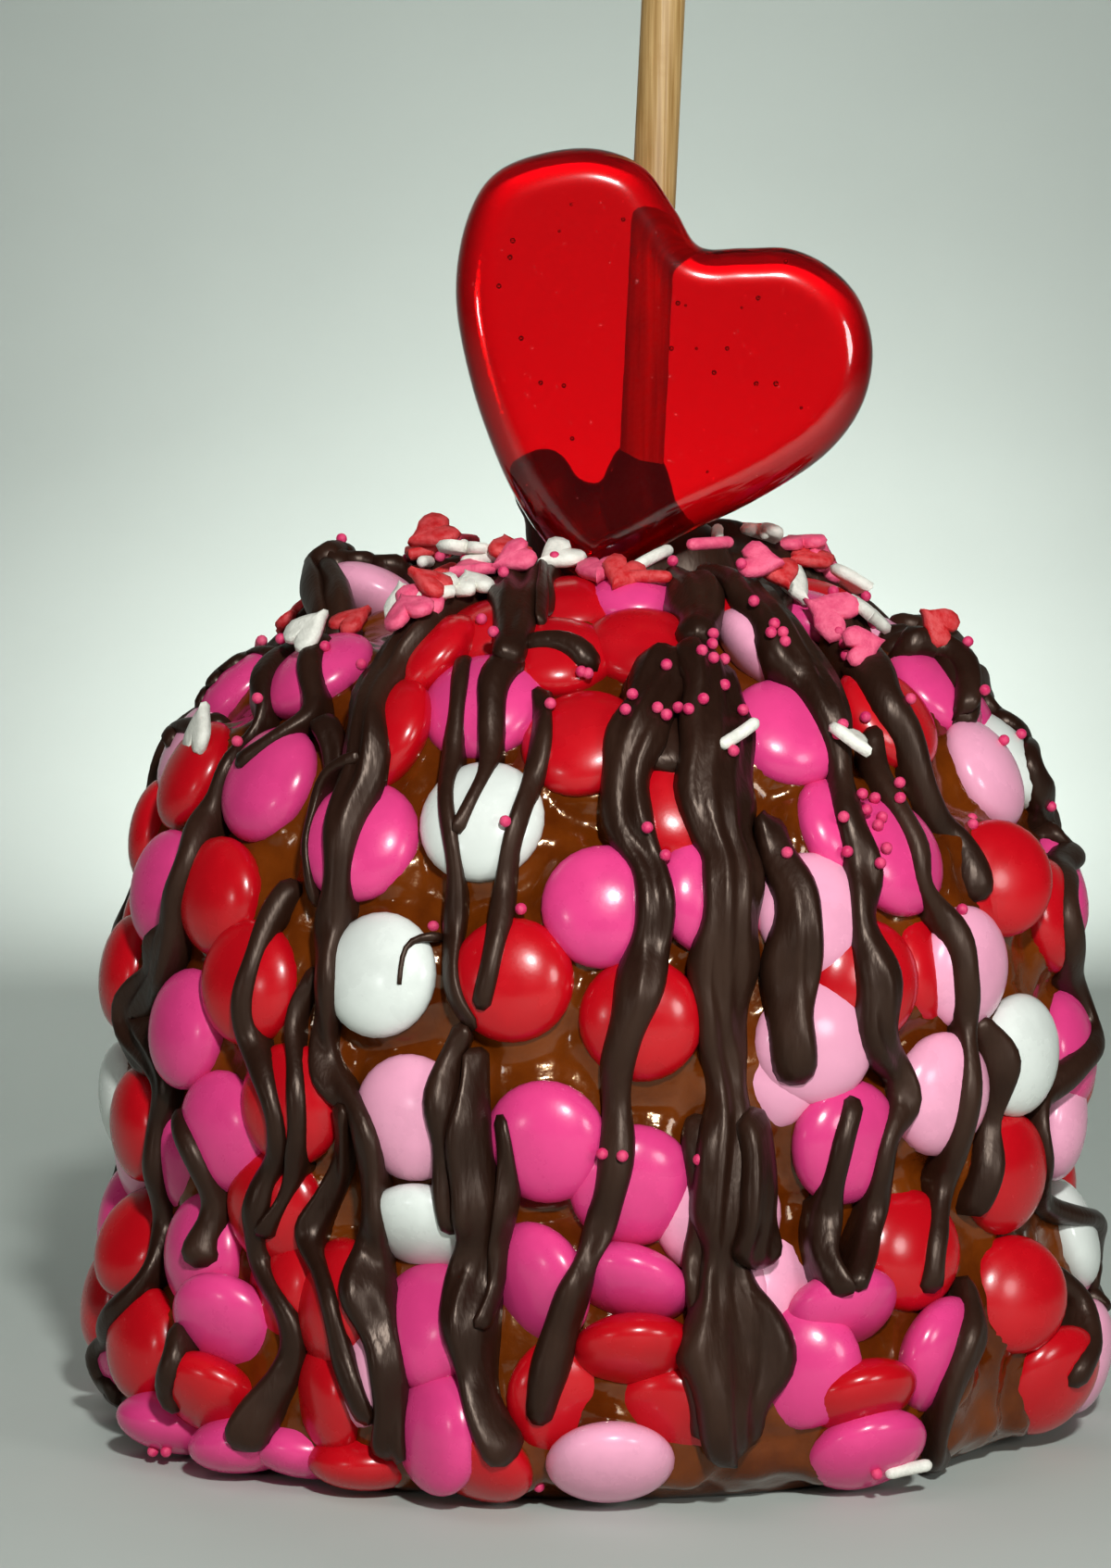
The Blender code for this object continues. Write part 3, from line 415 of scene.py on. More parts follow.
class StageSettings(bpy.types.PropertyGroup):
    floor: colour("Floor", "Colour of the pale floor", (0.5, 0.56, 0.51))
    key_power: FloatProperty(name="Key power", description="Power of the key light", default=3.2,
                             min=0.0, unit="POWER")
    fill_power: FloatProperty(name="Fill power", description="Power of the soft light above",
                              default=0.7, min=0.0, unit="POWER")
    side_power: FloatProperty(name="Side power", description="Power of the small light at the right",
                              default=0.5, min=0.0, unit="POWER")
    behind_power: FloatProperty(name="Behind power", description="Power of the soft light behind",
                                default=0.3, min=0.0, unit="POWER")
    glint_power: FloatProperty(name="Glint power", description="Power of the small light at the left",
                               default=0.12, min=0.0, unit="POWER")
    back_power: FloatProperty(name="Backdrop power", description="Power of the light on the backdrop",
                              default=0.5, min=0.0, unit="POWER")


# ---------------------------------------------------------------- the caramel's surface


class Apple:
    """The caramel's outline and the places of everything that lies on it, in millimetres."""

    def __init__(self, sizes):
        self.radius, self.top = sizes.core_radius / MM, sizes.core_top / MM
        self.wide, self.half = sizes.candy_radius / MM, sizes.candy_half / MM
        self.rise = sizes.candy_rise / MM
        self.run, self.r, self.z, self.nr, self.nz = self.profile()

    def radius_at(self, z):
        """The caramel's radius at height z, which is 0 above its top."""
        z = np.asarray(z, float)
        climb = np.clip((z - SHOULDER_HEIGHT) / (self.top - SHOULDER_HEIGHT), 0.0, 1.0)
        dome = self.radius * (1.0 - climb**SHOULDER_POWER) ** (1.0 / SHOULDER_POWER)
        foot = FOOT_FLARE * np.exp(-(((z - FOOT_HEIGHT) / FOOT_SPREAD) ** 2))
        waist = WAIST_DEPTH * np.exp(-(((z - WAIST_HEIGHT) / WAIST_SPREAD) ** 2))
        sole = SOLE_ROUNDING * np.clip(1.0 - z / SOLE_ROUNDING, 0.0, 1.0) ** 2
        return np.where(z > self.top, 0.0, dome + foot - waist - sole)

    def profile(self, count=400):
        """The outline in even steps from the sole up: run, radius, height and the normal's two parts."""
        angle = np.linspace(0.0, math.pi / 2, count)
        dome = SHOULDER_HEIGHT + (self.top - SHOULDER_HEIGHT) * np.sin(angle) ** TOP_CROWDING
        z = np.concatenate([np.linspace(0.0, SHOULDER_HEIGHT, count)[:-1], dome])
        r = self.radius_at(z)
        r[-1] = 0.0
        run = np.concatenate([[0.0], np.cumsum(np.hypot(np.diff(r), np.diff(z)))])
        even = np.linspace(0.0, run[-1], count)
        r, z = np.interp(even, run, r), np.interp(even, run, z)
        along_r, along_z = np.gradient(r, even), np.gradient(z, even)
        size = np.hypot(along_r, along_z)
        return even, r, z, along_z / size, -along_r / size

    def surface(self, azimuth, run):
        """Points on the caramel and the outward normals there. Azimuth 0 is the front."""
        radial = np.stack([np.sin(azimuth), -np.cos(azimuth), np.zeros_like(azimuth)], axis=-1)
        point = (radial * np.interp(run, self.run, self.r)[..., None]
                 + UP * np.interp(run, self.run, self.z)[..., None])
        normal = (radial * np.interp(run, self.run, self.nr)[..., None]
                  + UP * np.interp(run, self.run, self.nz)[..., None])
        return point, normal / np.linalg.norm(normal, axis=-1, keepdims=True)

    def seen_place(self, u, v, height):
        """Azimuth and run where the sight line through board spot (u, v) meets the surface that
        lies height above the caramel, or passes closest to it."""
        line = sight_line(u, v)
        walk = np.arange(NEAR_SIGHT, FAR_SIGHT, SIGHT_STEP)
        points = EYE + walk[:, None] * line
        lifted_r, lifted_z = self.r + height * self.nr, self.z + height * self.nz
        across = np.hypot(points[:, 0], points[:, 1])
        clear = across - np.interp(points[:, 2], lifted_z, lifted_r, right=0.0)
        inside = np.flatnonzero((clear < 0.0) & (points[:, 2] < lifted_z[-1]))
        if len(inside):
            best = points[inside[0]]
        else:
            gap = np.hypot(across[:, None] - lifted_r[None, ::4], points[:, 2:3] - lifted_z[None, ::4])
            best = points[np.argmin(gap.min(axis=1))]
        nearest = np.argmin(np.hypot(math.hypot(best[0], best[1]) - lifted_r, best[2] - lifted_z))
        return math.atan2(best[0], -best[1]), self.run[nearest]

    def turned_axis(self, azimuth, run, turn, lift):
        """The caramel's normal there, turned right and lifted by degrees."""
        _, normal = self.surface(np.array(azimuth), np.array(run))
        right = np.array((math.cos(azimuth), math.sin(azimuth), 0.0))
        over = np.cross(right, normal)
        axis = normal + math.tan(math.radians(turn)) * right
        axis = axis / np.linalg.norm(axis) + math.tan(math.radians(lift)) * over
        return axis / np.linalg.norm(axis)

    def seated(self, point, normal, axis, size):
        """The middle of a candy there, raised where its rim would reach below the sole."""
        middle = point + normal * self.rise
        reach = math.hypot(self.wide * math.sqrt(1.0 - axis[2] ** 2), self.half * axis[2])
        middle[2] = max(middle[2], size * reach + SOLE_CLEARANCE)
        return middle

    def laid_candies(self, flat_rows, tilted_rows, seed):
        """The candies of a layout: each one's middle, axis, colour and size."""
        draw = np.random.default_rng(seed)
        found = []
        for name in CANDY_COLOURS:
            for row in (*flat_rows.get(name, ()), *tilted_rows.get(name, ())):
                u, v, turn, lift, sink = (*row, 0, 0, 0)[:5]
                azimuth, run = self.seen_place(u, v, self.rise - sink)
                point, normal = self.surface(np.array(azimuth), np.array(run))
                turn += draw.normal(0.0, LAID_TURN)
                lift += draw.normal(0.0, LAID_TURN)
                size = draw.uniform(*CANDY_SIZES)
                axis = self.turned_axis(azimuth, run, turn, lift)
                found.append((self.seated(point - normal * sink, normal, axis, size), axis, name, size))
        return found

    def clear_of_topping(self, middle):
        """Whether a candy there leaves the stick and the heart's tip their room."""
        from_stick = math.hypot(middle[0] - STICK_FOOT[0], middle[1] - STICK_FOOT[1])
        beside_heart = (abs(middle[1] - HEART_MIDDLE_Y) > HEART_ROOM_DEEP + self.wide
                        or abs(middle[0] - HEART_MIDDLE_X) > HEART_ROOM_ACROSS)
        return middle[2] < self.top - TOPPING_DEPTH or (from_stick > STICK_ROOM and beside_heart)

    def fill_candies(self, laid, spacings, seed, sink, facing):
        """Candies at random places that turn from the eye and keep their spacing from those laid."""
        draw = np.random.default_rng(seed)
        found, taken = [], [candy[0] for candy in laid]
        for spacing in spacings:
            for _ in range(FILL_TRIES):
                azimuth, run = draw.uniform(-math.pi, math.pi), draw.uniform(FILL_FROM, self.run[-1])
                share = draw.uniform()
                turn, lift = draw.normal(0, FILL_TURN), draw.normal(0, FILL_TURN)
                size = draw.uniform(*CANDY_SIZES)
                name = str(draw.choice(CANDY_COLOURS, p=FILL_SHARES))
                point, normal = self.surface(np.array(azimuth), np.array(run))
                # A ring near the crown is short, so it gets fewer tries.
                if share * self.radius > np.hypot(point[0], point[1]):
                    continue
                axis = self.turned_axis(azimuth, run, turn, lift)
                middle = self.seated(point - normal * sink, normal, axis, size)
                to_eye = EYE - middle
                if normal @ to_eye > facing * np.linalg.norm(to_eye):
                    continue
                if not self.clear_of_topping(middle):
                    continue
                if np.linalg.norm(np.array(taken) - middle, axis=1).min() < spacing:
                    continue
                taken.append(middle)
                found.append((middle, axis, name, size))
        return found

    def candy_height(self, points, normals, candies):
        """How far the candies stand above each caramel point, along its normal."""
        height = np.zeros(len(points))
        for middle, axis, _, size in candies:
            near = np.flatnonzero(np.linalg.norm(points - middle, axis=1) < CANDY_REACH)
            if not len(near):
                continue
            start, way = points[near] - middle, normals[near]
            wide, thick = self.wide * size, self.half * size
            stretch = 1.0 / thick - 1.0 / wide
            start = start / wide + (start @ axis)[:, None] * axis * stretch
            way = way / wide + (way @ axis)[:, None] * axis * stretch
            a = (way * way).sum(axis=1)
            b = (start * way).sum(axis=1)
            rest = b * b - a * ((start * start).sum(axis=1) - 1.0)
            hit = rest > 0.0
            out = (-b[hit] + np.sqrt(rest[hit])) / a[hit]
            height[near[hit]] = np.maximum(height[near[hit]], out)
        return height


def sight_line(u, v):
    """The way from the eye through board spot (u, v)."""
    line = AHEAD * BOARD_DISTANCE + np.array((u, 0.0, 0.0)) + ABOVE * v
    return line / np.linalg.norm(line)


def on_board(points):
    """The board spot that each point is seen on, and its distance ahead of the eye."""
    from_eye = points - EYE
    away = from_eye @ AHEAD
    spots = np.stack([from_eye[:, 0], from_eye @ ABOVE], axis=1)
    return spots * (BOARD_DISTANCE / away)[:, None], away


def between(a, b, c, d, t):
    """The Catmull-Rom point at share t of the way from b to c, where a and d lie beyond them."""
    slope, bend, twist = c - a, 2 * a - 5 * b + 4 * c - d, 3 * b - a - 3 * c + d
    return 0.5 * (2 * b + slope * t + bend * t**2 + twist * t**3)


def smooth_course(knots, step):
    """A smooth curve through rows of numbers, with a point about every step."""
    rows = np.array(knots, float)
    rows = np.vstack([2 * rows[0] - rows[1], rows, 2 * rows[-1] - rows[-2]])
    out = []
    for a, b, c, d in zip(rows, rows[1:], rows[2:], rows[3:]):
        parts = max(1, round(float(np.linalg.norm((c - b)[:2])) / step))
        out += [between(a, b, c, d, t) for t in np.arange(parts) / parts]
    out.append(rows[-2])
    return np.array(out)


def blurred(values, sigma):
    """Gaussian blur along the first axis, sigma in samples."""
    reach = max(1, int(3 * sigma))
    weight = np.exp(-0.5 * (np.arange(-reach, reach + 1) / max(sigma, 1e-6)) ** 2)
    weight /= weight.sum()
    padded = np.pad(values, [(reach, reach)] + [(0, 0)] * (values.ndim - 1), mode="edge")
    return sum(w * padded[k:k + len(values)] for k, w in enumerate(weight))


# ---------------------------------------------------------------- meshes


def new_piece(name, points, faces, material):
    """A piece that rides on the apple, from points in millimetres."""
    mesh = bpy.data.meshes.new(name)
    mesh.from_pydata((np.asarray(points, float) * MM).tolist(), [], faces)
    mesh.update()
    mesh.shade_smooth()
    piece = bpy.data.objects.new(name, mesh)
    bpy.context.scene.collection.objects.link(piece)
    piece.data.materials.append(material)
    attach(piece, BODY)
    return piece


def turned(axis, spin=0.0):
    """The 3x3 matrix that turns +Z to the axis, after a spin about +Z."""
    matrix = Vector(axis).to_track_quat("Z", "Y").to_matrix() @ Matrix.Rotation(spin, 3, "Z")
    return np.array(matrix)


# How full a candy's rim is and how flat its faces are.
RIM_POWER, FACE_POWER = 0.94, 1.04

# The rounding of a rod's ends, in radians, and a sugar heart's sides, unevenness and profile: shares
# of its outline with their heights in thicknesses.
ROD_ROUNDING = (0.5, 1.0, 1.57)
SUGAR_HEART_SIDES, SUGAR_UNEVENNESS = 22, 0.035
SUGAR_PROFILE = (
    (0.0, -0.5), (0.55, -0.5), (0.9, -0.42), (1.0, 0.0), (0.9, 0.42), (0.55, 0.5), (0.0, 0.54),
)


def outward(points, faces):
    """The faces, turned round where they face the inside of their closed mesh."""
    fan = [(face[0], face[k], face[k + 1]) for face in faces for k in range(1, len(face) - 1)]
    a, b, c = (np.asarray(points)[list(corner)] for corner in zip(*fan))
    return faces if (a * np.cross(b, c)).sum() > 0.0 else [face[::-1] for face in faces]


def merged(shapes):
    """(points, faces) of many (points, faces) taken together."""
    points, faces, start = [], [], 0
    for corners, sides in shapes:
        points.append(corners)
        faces.extend([tuple(i + start for i in side) for side in sides])
        start += len(corners)
    return np.vstack(points), faces


def rings_of(count, around, first=0):
    """The numbers of points that stand in count rings, ring after ring."""
    return [range(first + i * around, first + (i + 1) * around) for i in range(count)]


def sleeve(rows):
    """Faces that join each row of points to the next. A row is a ring, or the one point of a pole."""
    faces = []
    for low, high in zip(rows, rows[1:]):
        around = max(len(low), len(high))
        for k in range(around):
            n = (k + 1) % around
            if len(low) == 1:
                faces.append((low[0], high[n], high[k]))
            elif len(high) == 1:
                faces.append((low[k], low[n], high[0]))
            else:
                faces.append((low[k], low[n], high[n], high[k]))
    return faces


def turned_round(faces):
    """The same faces from the other side, each from the same first corner."""
    return [(face[0], *face[:0:-1]) for face in faces]


def lentil(wide, half, around=30, rings=8):
    """A lens-shaped candy: poles on +Z and -Z, a soft rim between."""
    points = [(0.0, 0.0, half)]
    angles = [math.pi * (k + 1) / (2 * rings + 2) for k in range(2 * rings + 1)]
    for a in angles:
        r = wide * math.sin(a) ** RIM_POWER
        z = half * math.copysign(abs(math.cos(a)) ** FACE_POWER, math.cos(a))
        points += [(r * math.cos(math.tau * k / around), r * math.sin(math.tau * k / around), z)
                   for k in range(around)]
    points.append((0.0, 0.0, -half))
    rows = [[0], *rings_of(len(angles), around, 1), [len(points) - 1]]
    return np.array(points), turned_round(sleeve(rows))


def ball(radius, around=12, rings=3):
    """A bead or a bubble."""
    return lentil(radius, radius, around, rings)


def rod(length_mm, radius, bend, around=10):
    """A rod sprinkle with round ends, lying along X."""
    points, rows = [], []
    half = length_mm / 2
    rounding = [(-half + radius * (1 - math.cos(a)), radius * math.sin(a)) for a in ROD_ROUNDING]
    stations = [(-half, 0.0), *rounding, (-0.3 * half, radius), (0.3 * half, radius)]
    stations += [(-x, r) for x, r in reversed(rounding)] + [(half, 0.0)]
    for x, r in stations:
        lift = bend * (1 - (x / half) ** 2)
        if r == 0.0:
            rows.append([len(points)])
            points.append((x, 0.0, lift))
            continue
        rows.append(list(range(len(points), len(points) + around)))
        points += [(x, r * math.cos(math.tau * k / around), lift + r * math.sin(math.tau * k / around))
                   for k in range(around)]
    return np.array(points), sleeve(rows)


def sugar_heart(width, thickness, draw):
    """A flat pressed-sugar heart with soft edges, a little uneven."""
    outline = []
    for k in range(SUGAR_HEART_SIDES):
        t = math.tau * k / SUGAR_HEART_SIDES
        x = 16 * math.sin(t) ** 3
        y = 13 * math.cos(t) - 5 * math.cos(2 * t) - 2 * math.cos(3 * t) - math.cos(4 * t)
        outline.append((x / 33.0 * width, (y + 2.5) / 31.0 * width))
    outline = np.array(outline)
    outline *= 1.0 + draw.normal(0.0, SUGAR_UNEVENNESS, (len(outline), 1))
    outline[:, 0] *= draw.uniform(0.85, 1.05)
    curl = draw.uniform(-0.05, 0.05)
    points, rows = [], []
    for share, z in SUGAR_PROFILE:
        if share == 0.0:
            rows.append([len(points)])
            points.append((0.0, 0.0, z * thickness))
            continue
        rows.append(list(range(len(points), len(points) + len(outline)))[::-1])
        points += [(share * x, share * y, z * thickness + curl * x * x) for x, y in outline]
    return np.array(points), sleeve(rows)


def placed(shape, middle, axis, spin, scale=1.0):
    """The shape moved to its place, with its +Z along the axis."""
    points, faces = shape
    return (points * scale) @ turned(axis, spin).T + middle, faces


# ---------------------------------------------------------------- materials


def socket(group, name, kind, way, default=None):
    """A named input or output of a node group."""
    made = group.interface.new_socket(name=name, in_out=way, socket_type=kind)
    if default is not None:
        made.default_value = default
    return made


def mottle_group():
    """Soft cloudy patches: a mask from 0 to 1."""
    if "Mottle" in bpy.data.node_groups:
        return bpy.data.node_groups["Mottle"]
    group = bpy.data.node_groups.new("Mottle", "ShaderNodeTree")
    socket(group, "Scale", "NodeSocketFloat", "INPUT", 90.0)
    socket(group, "Low", "NodeSocketFloat", "INPUT", 0.35)
    socket(group, "High", "NodeSocketFloat", "INPUT", 0.7)
    socket(group, "Mask", "NodeSocketFloat", "OUTPUT")
    nodes, links = group.nodes, group.links
    start, end = nodes.new("NodeGroupInput"), nodes.new("NodeGroupOutput")
    place = nodes.new("ShaderNodeTexCoord")
    noise = nodes.new("ShaderNodeTexNoise")
    noise.inputs["Detail"].default_value = 5.0
    noise.inputs["Roughness"].default_value = 0.6
    ramp = nodes.new("ShaderNodeMapRange")
    ramp.interpolation_type = "SMOOTHSTEP"
    links.new(place.outputs["Object"], noise.inputs["Vector"])
    links.new(start.outputs["Scale"], noise.inputs["Scale"])
    links.new(noise.outputs["Fac"], ramp.inputs["Value"])
    links.new(start.outputs["Low"], ramp.inputs["From Min"])
    links.new(start.outputs["High"], ramp.inputs["From Max"])
    links.new(ramp.outputs["Result"], end.inputs["Mask"])
    return group


def grain_group():
    """Fine relief in two sizes: a height to feed a bump."""
    if "Grain" in bpy.data.node_groups:
        return bpy.data.node_groups["Grain"]
    group = bpy.data.node_groups.new("Grain", "ShaderNodeTree")
    socket(group, "Fine Scale", "NodeSocketFloat", "INPUT", 2500.0)
    socket(group, "Broad Scale", "NodeSocketFloat", "INPUT", 300.0)
    socket(group, "Broad Share", "NodeSocketFloat", "INPUT", 0.5)
    socket(group, "Stretch", "NodeSocketVector", "INPUT", (1.0, 1.0, 1.0))
    socket(group, "Height", "NodeSocketFloat", "OUTPUT")
    nodes, links = group.nodes, group.links
    start, end = nodes.new("NodeGroupInput"), nodes.new("NodeGroupOutput")
    place = nodes.new("ShaderNodeTexCoord")
    stretch = nodes.new("ShaderNodeVectorMath")
    stretch.operation = "MULTIPLY"
    fine, broad = nodes.new("ShaderNodeTexNoise"), nodes.new("ShaderNodeTexNoise")
    fine.inputs["Detail"].default_value = 2.0
    broad.inputs["Detail"].default_value = 3.0
    mix = nodes.new("ShaderNodeMix")
    links.new(place.outputs["Object"], stretch.inputs[0])
    links.new(start.outputs["Stretch"], stretch.inputs[1])
    for noise, name in ((fine, "Fine Scale"), (broad, "Broad Scale")):
        links.new(stretch.outputs[0], noise.inputs["Vector"])
        links.new(start.outputs[name], noise.inputs["Scale"])
    links.new(start.outputs["Broad Share"], mix.inputs["Factor"])
    links.new(fine.outputs["Fac"], mix.inputs["A"])
    links.new(broad.outputs["Fac"], mix.inputs["B"])
    links.new(mix.outputs["Result"], end.inputs["Height"])
    return group


class Finish:
    """A material under construction, with short ways to place and join its nodes."""

    def __init__(self, name):
        self.material = bpy.data.materials.new(name)
        self.material.use_nodes = True
        self.tree = self.material.node_tree
        self.shader = self.tree.nodes["Principled BSDF"]

    def set(self, **values):
        """Sets the shader's own sockets, each named in lower case."""
        for name, value in values.items():
            name = name.replace("_", " ").title().replace("Ior", "IOR")
            self.shader.inputs[name].default_value = value

    def link(self, source, target):
        self.tree.links.new(source, target)

    def colour(self, source):
        self.link(source, self.shader.inputs["Base Color"])

    def mottle(self, scale, low, high):
        """The mask of a Mottle group with these values."""
        node = self.tree.nodes.new("ShaderNodeGroup")
        node.node_tree = mottle_group()
        node.inputs["Scale"].default_value = scale
        node.inputs["Low"].default_value = low
        node.inputs["High"].default_value = high
        return node.outputs["Mask"]

    def grain(self, fine, broad, share, strength, distance, stretch=(1.0, 1.0, 1.0)):
        """A Grain group that feeds the shader's normal through a bump; its height is handed back."""
        node = self.tree.nodes.new("ShaderNodeGroup")
        node.node_tree = grain_group()
        node.inputs["Fine Scale"].default_value = fine
        node.inputs["Broad Scale"].default_value = broad
        node.inputs["Broad Share"].default_value = share
        node.inputs["Stretch"].default_value = stretch
        bump = self.tree.nodes.new("ShaderNodeBump")
        bump.inputs["Strength"].default_value = strength
        bump.inputs["Distance"].default_value = distance
        self.link(node.outputs["Height"], bump.inputs["Height"])
        self.link(bump.outputs["Normal"], self.shader.inputs["Normal"])
        return node.outputs["Height"]

    def blend(self, mask, first, second):
        """A colour that goes from first to second with the mask; either may be a socket."""
        mix = self.tree.nodes.new("ShaderNodeMix")
        mix.data_type = "RGBA"
        self.link(mask, mix.inputs["Factor"])
        for slot_name, value in (("A", first), ("B", second)):
            target = [s for s in mix.inputs if s.name == slot_name and s.type == "RGBA"][0]
            if isinstance(value, bpy.types.NodeSocket):
                self.link(value, target)
            else:
                target.default_value = (*value, 1.0)
        return [s for s in mix.outputs if s.type == "RGBA"][0]

    def ranged(self, mask, low, high, target):
        """Lets one of the shader's sockets go from low to high with the mask."""
        spread = self.tree.nodes.new("ShaderNodeMapRange")
        spread.inputs["To Min"].default_value = low
        spread.inputs["To Max"].default_value = high
        self.link(mask, spread.inputs["Value"])
        self.link(spread.outputs["Result"], self.shader.inputs[target])


BLACK, WHITE = (0.0, 0.0, 0.0), (1.0, 1.0, 1.0)


def tinted(base, share, towards):
    """The base colour, moved by a share towards another."""
    return tuple(b + (t - b) * share for b, t in zip(base, towards))


def sugar_shell(name, base):
    """Glossy candy shell: soft cloudy colour, pale scuffs, a faint orange-peel relief."""
    finish = Finish(name)
    cloud = finish.mottle(110.0, 0.38, 0.66)
    body = finish.blend(cloud, tinted(base, 0.12, BLACK), base)
    scuff = finish.mottle(520.0, 0.70, 0.82)
    finish.colour(finish.blend(scuff, body, tinted(base, 0.1, WHITE)))
    finish.ranged(cloud, 0.23, 0.31, "Roughness")
    finish.grain(1800.0, 420.0, 0.6, 0.10, 0.0002)
    finish.set(specular_ior_level=0.4, coat_weight=0.15, coat_roughness=0.12)
    return finish.material


def caramel_finish(base):
    """Deep glossy caramel with tiny bubbles."""
    finish = Finish("caramel")
    cloud = finish.mottle(75.0, 0.32, 0.7)
    deep, thin = tinted(base, 0.5, (0.03, 0.005, 0.0)), tinted(base, 0.12, (0.5, 0.14, 0.01))
    finish.colour(finish.blend(cloud, deep, thin))
    finish.ranged(cloud, 0.10, 0.22, "Roughness")
    finish.grain(900.0, 160.0, 0.7, 0.35, 0.0006)
    finish.set(specular_ior_level=0.35, specular_tint=(1.0, 0.72, 0.42, 1.0), coat_weight=0.36,
               coat_roughness=0.06)
    return finish.material


def chocolate_finish(base):
    """Satin dark chocolate with a slight greyish bloom."""
    finish = Finish("chocolate")
    cloud = finish.mottle(60.0, 0.35, 0.72)
    bloom = tinted(base, 0.03, (0.34, 0.18, 0.11))
    finish.colour(finish.blend(cloud, tinted(base, 0.25, BLACK), bloom))
    finish.ranged(cloud, 0.34, 0.46, "Roughness")
    finish.grain(1500.0, 420.0, 0.6, 0.3, 0.0005, (1.0, 1.0, 0.22))
    finish.set(specular_ior_level=0.34, specular_tint=(1.0, 0.8, 0.66, 1.0))
    return finish.material


def pressed_sugar(name, base):
    """Matt pressed sugar with a fine grain."""
    finish = Finish(name)
    cloud = finish.mottle(900.0, 0.3, 0.7)
    finish.colour(finish.blend(cloud, tinted(base, 0.16, BLACK), tinted(base, 0.06, WHITE)))
    finish.ranged(cloud, 0.5, 0.68, "Roughness")
    finish.grain(4200.0, 1200.0, 0.55, 0.5, 0.0003)
    return finish.material


def clear_candy(base):
    """Clear boiled sugar, coloured through, with a faint ripple and fine speckles."""
    finish = Finish("clear_candy")
    speckle = finish.mottle(900.0, 0.62, 0.75)
    finish.colour(finish.blend(speckle, base, tinted(base, 0.3, (1.0, 0.1, 0.1))))
    finish.ranged(speckle, 0.04, 0.3, "Roughness")
    finish.set(transmission_weight=0.98, ior=1.5, coat_weight=0.3, coat_roughness=0.16)
    absorb = finish.tree.nodes.new("ShaderNodeVolumeAbsorption")
    absorb.inputs["Color"].default_value = (0.985, 0.0, 0.01, 1.0)
    absorb.inputs["Density"].default_value = 150.0
    out = [n for n in finish.tree.nodes if n.type == "OUTPUT_MATERIAL"][0]
    finish.link(absorb.outputs[0], out.inputs["Volume"])
    finish.grain(700.0, 110.0, 0.75, 0.08, 0.0006)
    return finish.material


def bamboo_finish(base):
    """Pale bamboo with darker fibres along it and soft stains."""
    finish = Finish("bamboo")
    fibre = finish.grain(2600.0, 900.0, 0.45, 0.45, 0.0003, (1.0, 1.0, 0.02))
    dark = tinted(base, 0.45, (0.05, 0.02, 0.004))
    light = tinted(base, 0.22, (1.0, 0.85, 0.5))
    streak = finish.tree.nodes.new("ShaderNodeMapRange")
    streak.inputs["From Min"].default_value = 0.3
    streak.inputs["From Max"].default_value = 0.68
    finish.link(fibre, streak.inputs["Value"])
    body = finish.blend(streak.outputs["Result"], dark, light)
    stain = finish.mottle(140.0, 0.5, 0.8)
    finish.colour(finish.blend(stain, body, tinted(base, 0.3, (0.1, 0.04, 0.01))))
    finish.ranged(stain, 0.42, 0.6, "Roughness")
    return finish.material


# ---------------------------------------------------------------- the pieces


class Kitchen:
    """What one operator leaves for the next: the apple, its candies, strands and mound."""

    apple = None
    candies = []
    laid = None
    mound = None


def settings():
    return bpy.context.scene.caramel_apple


def set_out():
    """The apple's outline and its candies, worked out once."""
    if Kitchen.apple is None:
        apple = Apple(settings().coating)
        laid = apple.laid_candies(FLAT_CANDIES, TILTED_CANDIES, SEED)
        tucked = apple.laid_candies({}, TUCKED_CANDIES, SEED + 5)
        fill = apple.fill_candies(laid, FILL_SPACINGS, SEED + 1, 0.0, FILL_FACING)
        nested = apple.fill_candies(laid + fill, NESTED_SPACINGS, SEED + 6, NESTED_SINK, NESTED_FACING)
        Kitchen.apple, Kitchen.candies = apple, laid + fill + tucked + nested
    return Kitchen.apple, Kitchen.candies


# How far the caramel's skin waves and how far it is drawn up round a candy, in millimetres.
BROAD_WAVE, BROAD_PERIOD = 0.55, 9.0
FINE_WAVE, FINE_PERIOD = 0.22, 4.0
SKIN_FADE = 6.0
DRAWN_UP, DRAWN_FROM, DRAWN_OVER, DRAWN_REACH = 1.25, 6.3, 0.95, 12.0


